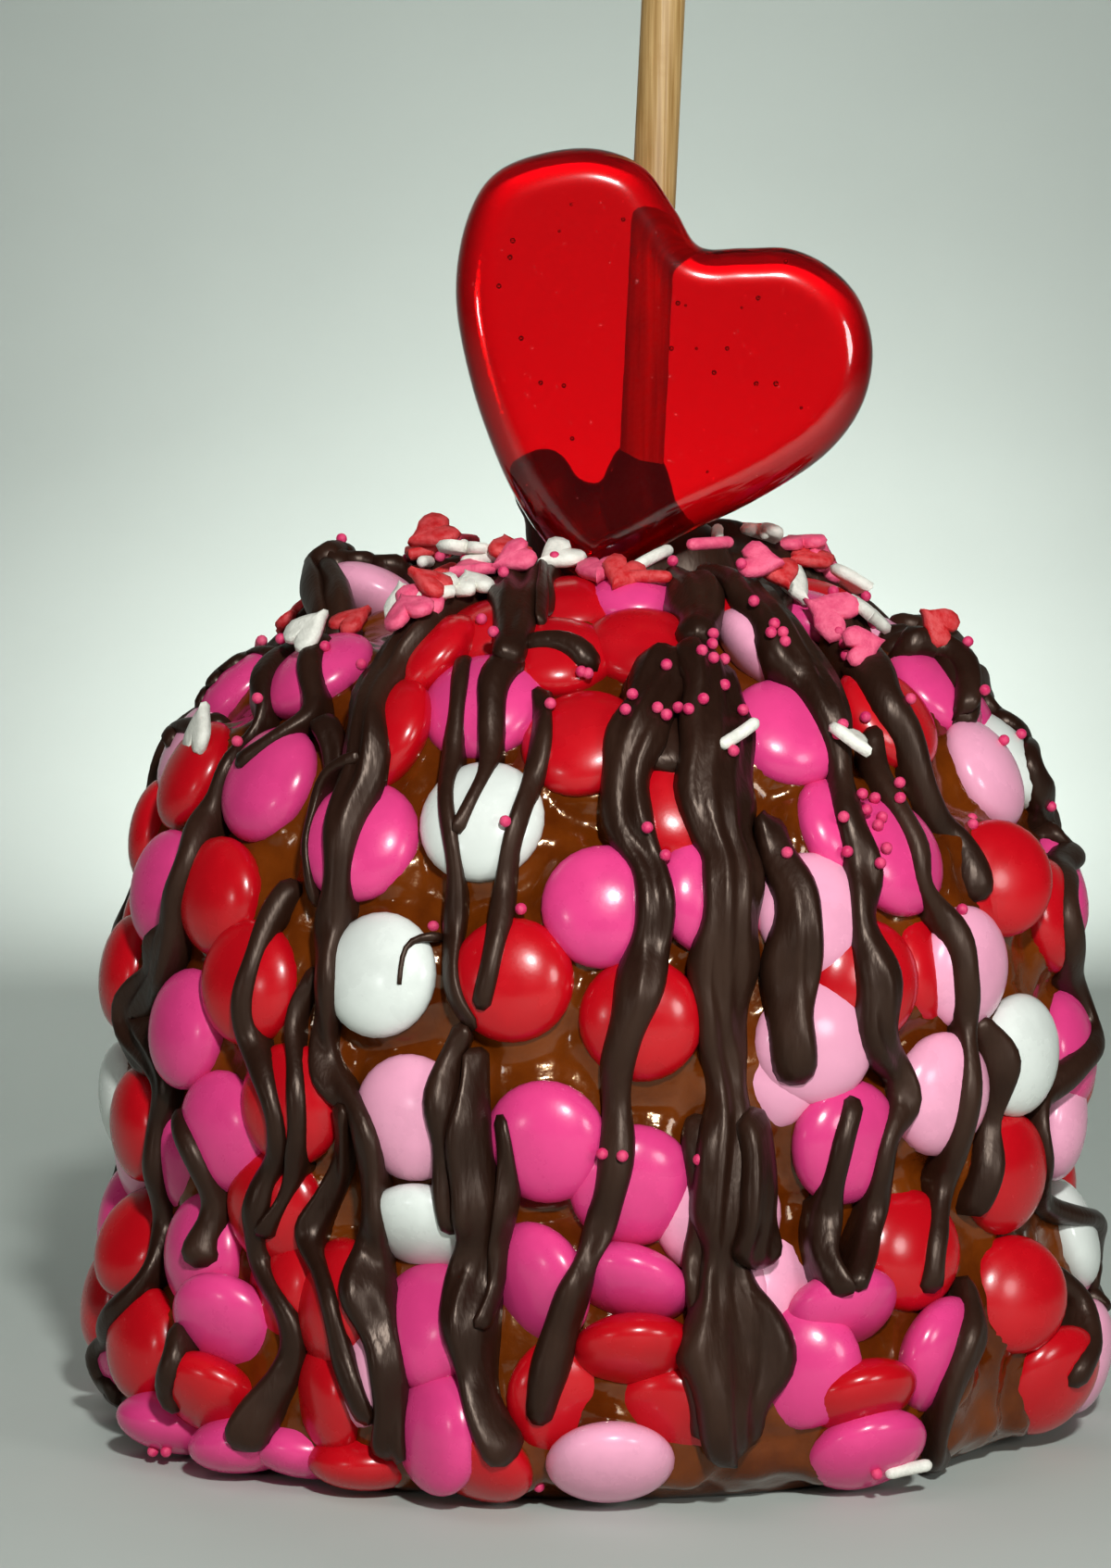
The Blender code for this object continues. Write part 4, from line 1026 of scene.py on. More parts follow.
class OBJECT_OT_apple_caramel(bpy.types.Operator):
    """Make the caramel skin that shows between the candies"""

    bl_idname = "object.apple_caramel"
    bl_label = "Caramel"

    def execute(self, context):
        apple, candies = set_out()
        step = settings().coating.skin_step / MM
        run = np.arange(0.0, apple.run[-1] - 0.5 * step, step)
        around = int(math.tau * apple.radius / step)
        azimuth = np.arange(around) * math.tau / around
        grid_run, grid_azimuth = np.meshgrid(run, azimuth, indexing="ij")
        points, normals = apple.surface(grid_azimuth.ravel(), grid_run.ravel())
        lift = BROAD_WAVE * wavy(points, BROAD_PERIOD)
        lift += FINE_WAVE * wavy(points[:, [1, 2, 0]], FINE_PERIOD)
        lift += self.menisci(points, candies)
        lift *= np.clip(grid_run.ravel() / SKIN_FADE, 0.0, 1.0)
        skin = points + normals * lift[:, None]
        skin = np.vstack([skin, [[0.0, 0.0, apple.top]], [[0.0, 0.0, 0.0]]])
        crown, sole = len(skin) - 2, len(skin) - 1
        faces = sleeve([[sole], *rings_of(len(run), around), [crown]])
        material = caramel_finish(settings().coating.caramel)
        piece = new_piece("caramel_skin", skin, faces, material)
        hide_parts("coated_apple")
        return {"FINISHED"}

    @staticmethod
    def menisci(points, candies):
        """Caramel drawn up round each candy."""
        lift = np.zeros(len(points))
        for middle, axis, _, size in candies:
            near = np.flatnonzero(np.linalg.norm(points - middle, axis=1) < DRAWN_REACH)
            away = points[near] - middle
            level = away @ axis
            flat = np.linalg.norm(away - level[:, None] * axis, axis=1)
            climb = DRAWN_UP * np.exp(-np.clip(flat - DRAWN_FROM * size, 0.0, None) / DRAWN_OVER)
            lift[near] = np.maximum(lift[near], climb)
        return lift


def wavy(points, period):
    """A smooth unevenness between about -1 and 1."""
    x, y, z = (points * (math.tau / period)).T
    hills = np.sin(x + 1.7 * np.sin(0.31 * y)) * np.sin(0.83 * y + 1.3 * np.sin(0.27 * z))
    return (hills + 0.5 * np.sin(1.27 * z + 1.9 * np.sin(0.37 * x))) / 1.5


class OBJECT_OT_apple_candies(bpy.types.Operator):
    """Make the round candies, one piece for each colour"""

    bl_idname = "object.apple_candies"
    bl_label = "Candies"

    def execute(self, context):
        apple, candies = set_out()
        sizes = settings().coating
        shape = lentil(apple.wide, apple.half)
        for name in CANDY_COLOURS:
            chosen = [candy for candy in candies if candy[2] == name]
            shapes = [placed(shape, middle, axis, CANDY_SPIN * k, size)
                      for k, (middle, axis, _, size) in enumerate(chosen)]
            points, faces = merged(shapes)
            material = sugar_shell(f"{name}_shell", tuple(getattr(sizes, name)))
            new_piece(f"candies_{name}", points, faces, material)
        return {"FINISHED"}


class Laid:
    """The heights of the strands that already lie on the apple."""

    def __init__(self):
        self.places, self.heights = [], []

    def add(self, places, heights):
        """Takes in a strand, as places on the caramel with the heights over them."""
        self.places.append(places)
        self.heights.append(heights)
        flat = np.vstack(self.places)
        self.all = np.concatenate(self.heights)
        self.tree = KDTree(len(flat))
        for k, place in enumerate(flat):
            self.tree.insert(place, k)
        self.tree.balance()

    def height(self, points, reach=0.9):
        """The strands' height at the nearest place within reach of each point, or 0."""
        found = np.zeros(len(points))
        if self.places:
            for k, point in enumerate(points):
                _, index, distance = self.tree.find(point)
                if distance < reach:
                    found[k] = self.all[index]
        return found


# A strand's section: places across it as shares of half its width, and those its underside hangs from.
LANES = np.array((-1.0, -0.93, -0.8, -0.64, -0.48, -0.32, -0.16, 0.0,
                  0.16, 0.32, 0.48, 0.64, 0.8, 0.93, 1.0))
UNDER_LANES = (10, 4)

# How it sags along itself and leans over across itself, as slopes, and how far it can span. Then the
# height where its course is first looked for, how that grows with its width and the least width, how
# it widens near the crown, and the ridges of a broad one.
SAG, LEAN_OVER, SPAN_REACH = 0.36, 0.8, 12.0
START_HEIGHT, HEIGHT_SHARE, THINNEST = 3.5, 0.3, 0.5
CROWN_POOLING, CROWN_START, CROWN_SPAN = 0.28, 8.0, 8.0
RIDGE_WIDTH, MOST_RIDGES, RIDGE_DEPTH = 2.3, 4.0, 0.17

# How round its ends are, how deep its edges and its underside lie, and how soft its top is.
END_SHARE, END_LEAST = 0.55, 0.15
EDGE_DEPTH, EDGE_STEP, UNDER_DEPTH, UNDER_STEP = 0.3, 0.15, 1.6, 0.6
SOFTNESS, LANE_SOFTNESS, TOP_SOFTNESS, EDGE_SOFTNESS = 0.9, 1.2, 0.6, 0.5


def spanned(heights, step):
    """Heights along a thick strand, which spans a gap between candies with a sag."""
    out = heights.copy()
    for k in range(1, int(SPAN_REACH / step)):
        if k >= len(heights):
            break
        out[k:] = np.maximum(out[k:], heights[:-k] - SAG * k * step)
        out[:-k] = np.maximum(out[:-k], heights[k:] - SAG * k * step)
    return out


def even_places(apple, places, step):
    """A strand's (azimuth, run, width) rows, a step apart on the apple."""
    points, _ = apple.surface(places[:, 0], places[:, 1])
    way = np.concatenate([[0.0], np.cumsum(np.linalg.norm(np.diff(points, axis=0), axis=1))])
    keep = np.concatenate([[True], np.diff(way) > 1e-6])
    way, places = way[keep], places[keep]
    azimuth = np.unwrap(places[:, 0])
    even = np.arange(0.0, way[-1], step)
    return np.stack([np.interp(even, way, azimuth), np.interp(even, way, places[:, 1]),
                     np.interp(even, way, places[:, 2])], axis=1)


def front_course(apple, knots, candies):
    """A front strand's (azimuth, run, width) rows, each where it is seen at its own height."""
    course = smooth_course(knots, 1.0)
    heights = np.full(len(course), START_HEIGHT)
    for _ in range(3):
        places = np.array([apple.seen_place(u, v, h) for (u, v, _), h in zip(course, heights)])
        points, normals = apple.surface(places[:, 0], places[:, 1])
        heap = spanned(apple.candy_height(points, normals, candies), 1.0)
        heights = blurred(heap, 1.5) + HEIGHT_SHARE * course[:, 2]
    pooled = 1.0 + CROWN_POOLING * np.clip((course[:, 1] - CROWN_START) / CROWN_SPAN, 0.0, 1.0)
    return np.column_stack([places, np.maximum(course[:, 2] * pooled, THINNEST)])


def strand_shape(apple, places, candies, laid, step, share, thickest):
    """A chocolate strand draped over the candies and over the strands below it."""
    places = even_places(apple, places, step)
    places[:, :2] = blurred(places[:, :2], 1.0 / step)
    azimuth, run, width = places.T
    count = len(width)
    base, normal = apple.surface(azimuth, run)
    along = np.gradient(base, axis=0)
    across = np.cross(normal, along)
    across /= np.linalg.norm(across, axis=1, keepdims=True)
    from_end = np.minimum(np.arange(count), np.arange(count)[::-1]) * step + END_LEAST
    round_off = 1.0 - (1.0 - np.clip(from_end / (END_SHARE * width), 0.0, 1.0)) ** 2
    round_off = np.sqrt(np.clip(round_off, 0.02, 1.0))
    swell = (1.0 + 0.15 * np.sin(np.arange(count) * step / 2.9 + 7.0 * azimuth[0])
             + 0.07 * np.sin(np.arange(count) * step / 1.3 + 3.0 * run[0]))
    width = width * swell * round_off
    thick = np.minimum(share * width, thickest) * round_off
    below = np.zeros((count, len(LANES)))
    spots = np.zeros((count, len(LANES), 3))
    for j, lane in enumerate(LANES):
        spots[:, j] = base + across * (lane * width / 2)[:, None]
        heap = np.maximum(apple.candy_height(spots[:, j], normal, candies), laid.height(spots[:, j]))
        below[:, j] = heap
    held = below.copy()
    for j, lane in enumerate(LANES):
        for k, other in enumerate(LANES):
            held[:, j] = np.maximum(held[:, j], below[:, k] - LEAN_OVER * abs(lane - other) * width / 2)
    soft = blurred(spanned(held, step), SOFTNESS / step)
    soft = blurred(soft.T, LANE_SOFTNESS).T
    flatness = 2.0 + 0.25 * np.clip(width - 3.5, 0.0, 8.0)
    dome = np.sqrt(np.clip(1.0 - np.abs(LANES)[None] ** flatness[:, None], 0.0, 1.0))
    ridges = np.minimum(width / RIDGE_WIDTH, MOST_RIDGES)[:, None] * LANES[None]
    ridges = np.cos(math.pi * ridges + 4.0 * np.sin(run / 9.0)[:, None])
    dome *= 1.0 + RIDGE_DEPTH * np.clip(width / 3.0 - 1.2, 0.0, 1.0)[:, None] * ridges
    top = np.maximum(soft + thick[:, None] * dome, below + 0.4 * thick[:, None] * dome)
    top = blurred(top, TOP_SOFTNESS / step)
    edge = blurred(soft, EDGE_SOFTNESS / step) - EDGE_DEPTH
    top[:, 0] = np.minimum(edge[:, 0], top[:, 1] - EDGE_STEP)
    top[:, -1] = np.minimum(edge[:, -1], top[:, -2] - EDGE_STEP)
    laid.add(spots.reshape(-1, 3), top.reshape(-1))
    points = spots + normal[:, None] * top[..., None]
    sunk = []
    for j in UNDER_LANES:
        depth = np.minimum(below[:, j], top[:, j]) - UNDER_DEPTH
        depth = np.minimum(depth, top[:, [0, -1]].min(axis=1) - UNDER_STEP)
        sunk.append(spots[:, j] + normal * depth[:, None])
    ring = np.concatenate([points, np.stack(sunk, axis=1)], axis=1)
    rings = rings_of(count, ring.shape[1])
    faces = turned_round(sleeve(rings)) + [tuple(rings[0]), tuple(rings[-1][::-1])]
    return ring.reshape(-1, 3), faces


# How far round the far side's strands start and reach, in degrees, and their range of widths.
BACK_FROM, BACK_SPAN = 103.0, 154.0
NARROWEST_BACK, BROADEST_BACK = 1.6, 6.5


def back_courses(apple, count, seed):
    """Strands that run down the side the layout doesn't reach, evenly apart but for a little."""
    draw = np.random.default_rng(seed)
    found = []
    for k in range(count):
        azimuth = math.radians(BACK_FROM + BACK_SPAN * (k + 0.5) / count + draw.uniform(-4, 4))
        last = draw.uniform(4.0, 40.0)
        run = np.arange(apple.run[-1] - draw.uniform(5.0, 14.0), last, -2.0)
        sway = draw.uniform(1.0, 3.0)
        course = azimuth + sway * np.sin(run / draw.uniform(8, 15) + draw.uniform(0, 6)) / apple.radius
        course += 0.02 * np.sin(run / 4.1 + k)
        width = draw.uniform(2.2, 5.0) + 0.9 * np.sin(run / draw.uniform(5.0, 9.0) + k)
        width = np.clip(width, NARROWEST_BACK, BROADEST_BACK)
        found.append(np.stack([course, run, width], axis=1))
    return found


# The mound's lumps, each with its middle, radius and half height, and how they are melted together.
MOUND_LUMPS = (
    (4.6, 1.6, 92.0, 8.4, 8.0), (4.4, 0.4, 99.0, 4.6, 10.5), (-2.4, 1.6, 92.0, 6.4, 8.0),
    (-3.8, 0.4, 99.0, 4.4, 6.5), (-6.0, -0.2, 104.0, 3.6, 4.4), (-0.8, 1.0, 97.0, 4.6, 7.5),
    (9.6, 0.9, 92.0, 6.6, 8.6), (0.5, 6.5, 90.5, 8.0, 4.0),
)
MOUND_STEP, MELT_SHARE, MELT_ROUNDS = 0.0006, 0.5, 12


class OBJECT_OT_apple_drizzle(bpy.types.Operator):
    """Make the dark chocolate strands and the mound round the stick"""

    bl_idname = "object.apple_drizzle"
    bl_label = "Chocolate drizzle"

    def execute(self, context):
        apple, candies = set_out()
        sizes = settings().drizzle
        step, thickest = sizes.step / MM, sizes.thickest / MM
        material = chocolate_finish(tuple(sizes.chocolate))
        laid = Laid()
        front = [front_course(apple, knots, candies) for knots in STRANDS.values()]
        back = back_courses(apple, sizes.back_count, SEED + 2)
        for name, group in (("drizzle_front", front), ("drizzle_back", back)):
            shapes = [strand_shape(apple, places, candies, laid, step, sizes.share, thickest)
                      for places in group]
            points, faces = merged(shapes)
            new_piece(name, points, faces, material)
        self.mound(material)
        Kitchen.laid = laid
        return {"FINISHED"}

    @staticmethod
    def mound(material):
        """The lump of chocolate that holds the stick and the heart."""
        shapes = [placed(lentil(radius, half, 24, 6), np.array((x, y, z)), (0, 0, 1), 0.0)
                  for x, y, z, radius, half in MOUND_LUMPS]
        points, faces = merged(shapes)
        piece = new_piece("chocolate_mound", points, faces, material)
        remesh = piece.modifiers.new("Fuse", "REMESH")
        remesh.mode, remesh.voxel_size, remesh.use_smooth_shade = "VOXEL", MOUND_STEP, True
        smooth = piece.modifiers.new("Melt", "SMOOTH")
        smooth.factor, smooth.iterations = MELT_SHARE, MELT_ROUNDS
        apply_modifiers(piece)
        corners = [vertex.co / MM for vertex in piece.data.vertices]
        sides = [face.vertices[:] for face in piece.data.polygons]
        Kitchen.mound = BVHTree.FromPolygons(corners, sides)


def apply_modifiers(piece):
    """Turns the piece into the mesh that its modifiers make of it."""
    graph = bpy.context.evaluated_depsgraph_get()
    mesh = bpy.data.meshes.new_from_object(piece.evaluated_get(graph), depsgraph=graph)
    piece.modifiers.clear()
    piece.data = mesh


# Where small things can lie: how far round the front, in degrees, how far off a board spot a place may
# be, how much its nearness to the spot counts against its nearness to the eye, and how far over the
# heap's edge a thing may lie. Then the slack before it counts as over, how high over the heap a place
# is, where the runs of places start and stop short of the top, and their step.
HEAPED_TO, HEAPED_CLOSE, HEAPED_PULL, MOST_OVER = 112.0, 2.5, 8.0, 2.4
OVER_SLACK, HEAPED_LIFT = 0.5, 0.5
HEAPED_FROM, HEAPED_SHORT, HEAPED_STEP = 2.0, 3.0, 0.8

# A flat thing's reach and the deepest dip that it bridges, and where the mound is looked for.
HEART_REACH, MOST_BRIDGED = 2.1, 2.0
MOUND_FROM, MOUND_REACH = 78.0, 24.0

# Each kind's thickness, its lift over what it lies on, how far it tilts at random and towards the eye,
# and how many lie on the far side, spread how far round from its middle and down from the top.
SUGAR_HEART_THICK, HEART_LIFT, BACK_HEART_LIFT = 1.35, 0.75, 0.6
HEART_TILT, BACK_HEART_TILT, HEART_TO_EYE = 0.34, 0.3, 0.25
ROD_RADIUS, ROD_BEND, ROD_LIFT, ROD_TILT = 0.68, 0.3, 0.55, 0.2
BEAD_LIFT = 0.42
BACK_HEARTS, BACK_RODS = 8, 5
BEHIND_TO, BEHIND_START, BEHIND_SPAN, BEHIND_POWER = 1.45, 17.0, 40.0, 1.7


def heap_height(apple, candies, points, normals):
    """How far candies, strands and mound stand above each caramel point, along its normal."""
    height = np.maximum(apple.candy_height(points, normals, candies), Kitchen.laid.height(points))
    for k in np.flatnonzero(points[:, 2] > MOUND_FROM):
        start = points[k] + normals[k] * MOUND_REACH
        place, _, _, distance = Kitchen.mound.ray_cast(start, -normals[k], MOUND_REACH)
        if place:
            height[k] = max(height[k], MOUND_REACH - distance)
    return height


def resting_height(apple, candies, azimuth, run, reach):
    """The height at which a flat thing of that reach lies across the heap: the middle of the place, or
    half way between the two opposite sides that hold it highest."""
    around = np.arange(6) * math.pi / 3.0
    across = max(float(np.interp(run, apple.run, apple.r)), reach)
    azimuths = azimuth + np.append(np.sin(around), 0.0) * reach / across
    runs = run + np.append(np.cos(around), 0.0) * reach
    height = heap_height(apple, candies, *apple.surface(azimuths, runs))
    return min(max(height[6], (height[:3] + height[3:6]).max() / 2), height[6] + MOST_BRIDGED)


class Heaped:
    """The front of the candies and strands, as places to put small things on."""

    def __init__(self, apple, candies):
        azimuth = np.radians(np.arange(-HEAPED_TO, HEAPED_TO, 1.0))
        run = np.arange(HEAPED_FROM, apple.run[-1] - HEAPED_SHORT, HEAPED_STEP)
        self.azimuth, self.run = (grid.ravel() for grid in np.meshgrid(azimuth, run))
        point, normal = apple.surface(self.azimuth, self.run)
        heap = heap_height(apple, candies, point, normal)
        self.spot, self.away = on_board(point + normal * (heap + HEAPED_LIFT)[:, None])

    def seen(self, u, v):
        """A place seen close to board spot (u, v), the nearer to the eye the better, and how much
        higher a thing has to lie there where the spot is over the heap's edge."""
        apart = np.hypot(*(self.spot - (u, v)).T)
        close = np.flatnonzero(apart < max(HEAPED_CLOSE, apart.min() + 0.1))
        best = close[np.argmin(self.away[close] + HEAPED_PULL * apart[close])]
        over = v - self.spot[best, 1]
        return self.azimuth[best], self.run[best], min(max(over - OVER_SLACK, 0.0), MOST_OVER)


class OBJECT_OT_apple_sprinkles(bpy.types.Operator):
    """Scatter the sugar hearts, rods and beads, one piece for each kind"""

    bl_idname = "object.apple_sprinkles"
    bl_label = "Sprinkles"

    def execute(self, context):
        apple, candies = set_out()
        sizes = settings().sprinkles
        draw = np.random.default_rng(SEED + 3)
        kinds = {name: pressed_sugar(f"{name}_sugar", tuple(getattr(sizes, name)))
                 for name in ("red", "pink", "white", "beads")}
        heaped = Heaped(apple, candies)
        for name in ("red", "pink", "white"):
            shapes = []
            for u, v in SUGAR_HEARTS[name]:
                width = sizes.heart / MM * draw.uniform(0.86, 1.12)
                shape = sugar_heart(width, SUGAR_HEART_THICK, draw)
                azimuth, run, over = heaped.seen(u, v)
                shapes.append(self.lay(apple, candies, shape, azimuth, run, HEART_LIFT + over, draw,
                                       HEART_TILT, face_eye=HEART_TO_EYE, reach=HEART_REACH))
            for u, v, turn in SUGAR_RODS[name]:
                shape = rod(sizes.rod / MM * draw.uniform(0.9, 1.15), ROD_RADIUS,
                            draw.uniform(-ROD_BEND, ROD_BEND))
                azimuth, run, over = heaped.seen(u, v)
                shapes.append(self.lay(apple, candies, shape, azimuth, run, ROD_LIFT + over, draw,
                                       ROD_TILT, math.radians(turn)))
            for azimuth, run in self.behind(apple, draw, BACK_HEARTS):
                shape = sugar_heart(sizes.heart / MM, SUGAR_HEART_THICK, draw)
                shapes.append(self.lay(apple, candies, shape, azimuth, run, BACK_HEART_LIFT, draw,
                                       BACK_HEART_TILT, reach=HEART_REACH))
            for azimuth, run in self.behind(apple, draw, BACK_RODS):
                shape = rod(sizes.rod / MM, ROD_RADIUS, draw.uniform(-ROD_BEND, ROD_BEND))
                shapes.append(self.lay(apple, candies, shape, azimuth, run, ROD_LIFT, draw, ROD_TILT,
                                       draw.uniform(0, math.pi)))
            points, faces = merged(shapes)
            new_piece(f"sprinkles_{name}", points, faces, kinds[name])
        beads = []
        bead = ball(sizes.bead / MM / 2)
        for u, v in SUGAR_BEADS:
            azimuth, run, over = heaped.seen(u, v)
            lift = BEAD_LIFT + 0.5 * over
            beads.append(self.lay(apple, candies, bead, azimuth, run, lift, draw, 0.0))
        for azimuth, run in self.behind(apple, draw, sizes.back_beads):
            beads.append(self.lay(apple, candies, bead, azimuth, run, BEAD_LIFT, draw, 0.0))
        points, faces = merged(beads)
        new_piece("sprinkle_beads", points, faces, kinds["beads"])
        return {"FINISHED"}

    @staticmethod
    def behind(apple, draw, count):
        """Places on the far side, most of them near the top."""
        azimuth = math.pi + draw.uniform(-BEHIND_TO, BEHIND_TO, count)
        run = apple.run[-1] - BEHIND_START - BEHIND_SPAN * draw.uniform(0, 1, count) ** BEHIND_POWER
        return list(zip(azimuth, run))

    @staticmethod
    def lay(apple, candies, shape, azimuth, run, lift, draw, tilt, spin=None, face_eye=0.0, reach=0.0):
        """The shape put down on what lies at that place, tilted at random and towards the eye."""
        point, normal = apple.surface(np.array([azimuth]), np.array([run]))
        height = resting_height(apple, candies, azimuth, run, reach)
        to_eye = EYE - point[0]
        axis = normal[0] + draw.normal(0.0, 1.0, 3) * tilt
        axis = axis + face_eye * to_eye / np.linalg.norm(to_eye)
        middle = point[0] + normal[0] * (height + lift)
        spin = draw.uniform(0, math.tau) if spin is None else spin
        points, faces = placed(shape, middle, axis / np.linalg.norm(axis), spin)
        points[:, 2] += max(0.0, FLOOR_CLEARANCE - points[:, 2].min())
        return points, faces


# The heart's rings towards its middle, the parts between two places of its edge, how far its middle
# lies over the edge's own, the fullness of its rounding, and the bubbles' radii and their least cover.
HEART_RINGS, KNOT_PARTS = 20, 9
HEART_MIDDLE_LIFT, BULGE_POWER = 1.5, 2.4
BUBBLE_RADII, BUBBLE_SKIN = (0.16, 0.34), 1.4


class OBJECT_OT_apple_heart(bpy.types.Operator):
    """Make the clear red candy heart with its air bubbles"""

    bl_idname = "object.apple_heart"
    bl_label = "Candy heart"

    def execute(self, context):
        sizes = settings().heart
        half, bevel = sizes.thickness / MM / 2, sizes.bevel / MM
        outline = self.outline()
        middle = outline.mean(axis=0) + (0.0, HEART_MIDDLE_LIFT)
        shares = [1.0 - 0.5 * (1.0 - math.cos(math.pi * k / (2 * HEART_RINGS))) ** 0.75
                  for k in range(HEART_RINGS)] + [0.35, 0.18]
        rings = [middle + (outline - middle) * share for share in shares]
        depths = [half * self.bulge(ring, outline, bevel) for ring in rings]
        points, front, back = [], [], []
        for side, rows, first in ((-1.0, front, 0), (1.0, back, 1)):
            for ring, depth in zip(rings[first:], depths[first:]):
                rows.append(range(len(points), len(points) + len(outline)))
                points += [(x, HEART_MIDDLE_Y + side * d, z) for (x, z), d in zip(ring, depth)]
            rows.append([len(points)])
            points.append((middle[0], HEART_MIDDLE_Y + side * half, middle[1]))
        faces = sleeve([*reversed(back), *front])
        draw = np.random.default_rng(SEED + 4)
        shapes = [(np.array(points), outward(points, faces))]
        for u, v in HEART_BUBBLES:
            middle = on_plane(u, v, HEART_MIDDLE_Y)
            middle[1] += draw.uniform(-0.5, 0.7) * (half - BUBBLE_SKIN)
            bubble, sides = ball(draw.uniform(*BUBBLE_RADII), 10, 3)
            shapes.append((bubble + middle, [side[::-1] for side in sides]))
        points, faces = merged(shapes)
        material = clear_candy(tuple(sizes.candy))
        piece = new_piece("candy_heart_clear", points, faces, material)
        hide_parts("candy_heart")
        return {"FINISHED"}

    @staticmethod
    def outline():
        """The heart's edge in its own plane, smooth through the layout's places."""
        knots = np.array([on_plane(u, v, HEART_MIDDLE_Y)[[0, 2]] for u, v in HEART_OUTLINE])
        rows = np.vstack([knots[-1:], knots, knots[:2]])
        out = []
        for a, b, c, d in zip(rows, rows[1:], rows[2:], rows[3:]):
            out += [between(a, b, c, d, t) for t in np.arange(KNOT_PARTS) / KNOT_PARTS]
        return np.array(out)

    @staticmethod
    def bulge(ring, outline, bevel):
        """How thick the heart is at each point, from 0 at its edge to 1 past the rounding."""
        away = np.linalg.norm(ring[:, None] - outline[None], axis=2).min(axis=1)
        inward = np.clip(away / bevel, 0.0, 1.0)
        return np.sqrt(np.clip(1.0 - (1.0 - inward) ** BULGE_POWER, 0.0, 1.0))


def on_plane(u, v, y):
    """The point at depth y that is seen at board spot (u, v)."""
    line = sight_line(u, v)
    return EYE + line * (y - EYE[1]) / line[1]


# The stick's rounded ends, as shares of its radius and distances from each end, its rings, its sides
# and how far its five soft ribs and its waves along it go in.
FOOT_END, TOP_END = ((0.86, 0.0), (1.0, 0.4)), ((1.0, 0.35), (0.93, 0.08), (0.86, 0.0))
STICK_RINGS, STICK_SIDES, STICK_RIB, STICK_WAVE = 24, 40, 0.012, 0.008


class OBJECT_OT_apple_stick(bpy.types.Operator):
    """Make the bamboo stick"""

    bl_idname = "object.apple_stick"
    bl_label = "Stick"

    def execute(self, context):
        sizes = settings().stick
        radius, full = sizes.diameter / MM / 2, sizes.length / MM
        lean = np.array((math.sin(STICK_LEAN), 0.0, math.cos(STICK_LEAN)))
        across, deep = np.array((lean[2], 0.0, -lean[0])), np.array((0.0, 1.0, 0.0))
        out_of_caramel = np.array((*STICK_FOOT, settings().coating.core_top / MM))
        foot = out_of_caramel - lean * (full - sizes.shown / MM)
        levels = [*FOOT_END, *((1.0, full * k / STICK_RINGS) for k in range(1, STICK_RINGS))]
        levels += [(share, full - down) for share, down in TOP_END]
        points = []
        for share, level in levels:
            for k in range(STICK_SIDES):
                a = math.tau * k / STICK_SIDES
                ribs = STICK_RIB * (1 + math.sin(5 * a))
                waves = STICK_WAVE * (1 + math.sin(level / 17.0 + 2 * a))
                r = radius * share * (1.0 - ribs - waves)
                points.append(foot + lean * level + across * r * math.cos(a) + deep * r * math.sin(a))
        rings = rings_of(len(levels), STICK_SIDES)
        faces = sleeve(rings) + [tuple(rings[0][::-1]), tuple(rings[-1])]
        material = bamboo_finish(tuple(sizes.bamboo))
        piece = new_piece("bamboo_stick_grained", points, faces, material)
        piece.data.set_sharp_from_angle(angle=math.radians(50))
        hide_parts("bamboo_stick")
        return {"FINISHED"}


# The floor in metres: its half width, where it starts and turns up, the radius of that sweep and the
# backdrop's top. Then the surround's colour and strength.
FLOOR_HALF, FLOOR_FROM, FLOOR_TURN, FLOOR_SWEEP, BACKDROP_TOP = 2.0, -1.5, 0.25, 0.35, 2.0
SURROUND, SURROUND_STRENGTH = (0.86, 0.93, 0.9, 1.0), 0.035

# The lens's length and the frame's longer side in pixels, and that side on the sensor in millimetres.
LENS_PIXELS, FRAME_PIXELS, SENSOR = 4800.0, 1693.0, 36.0


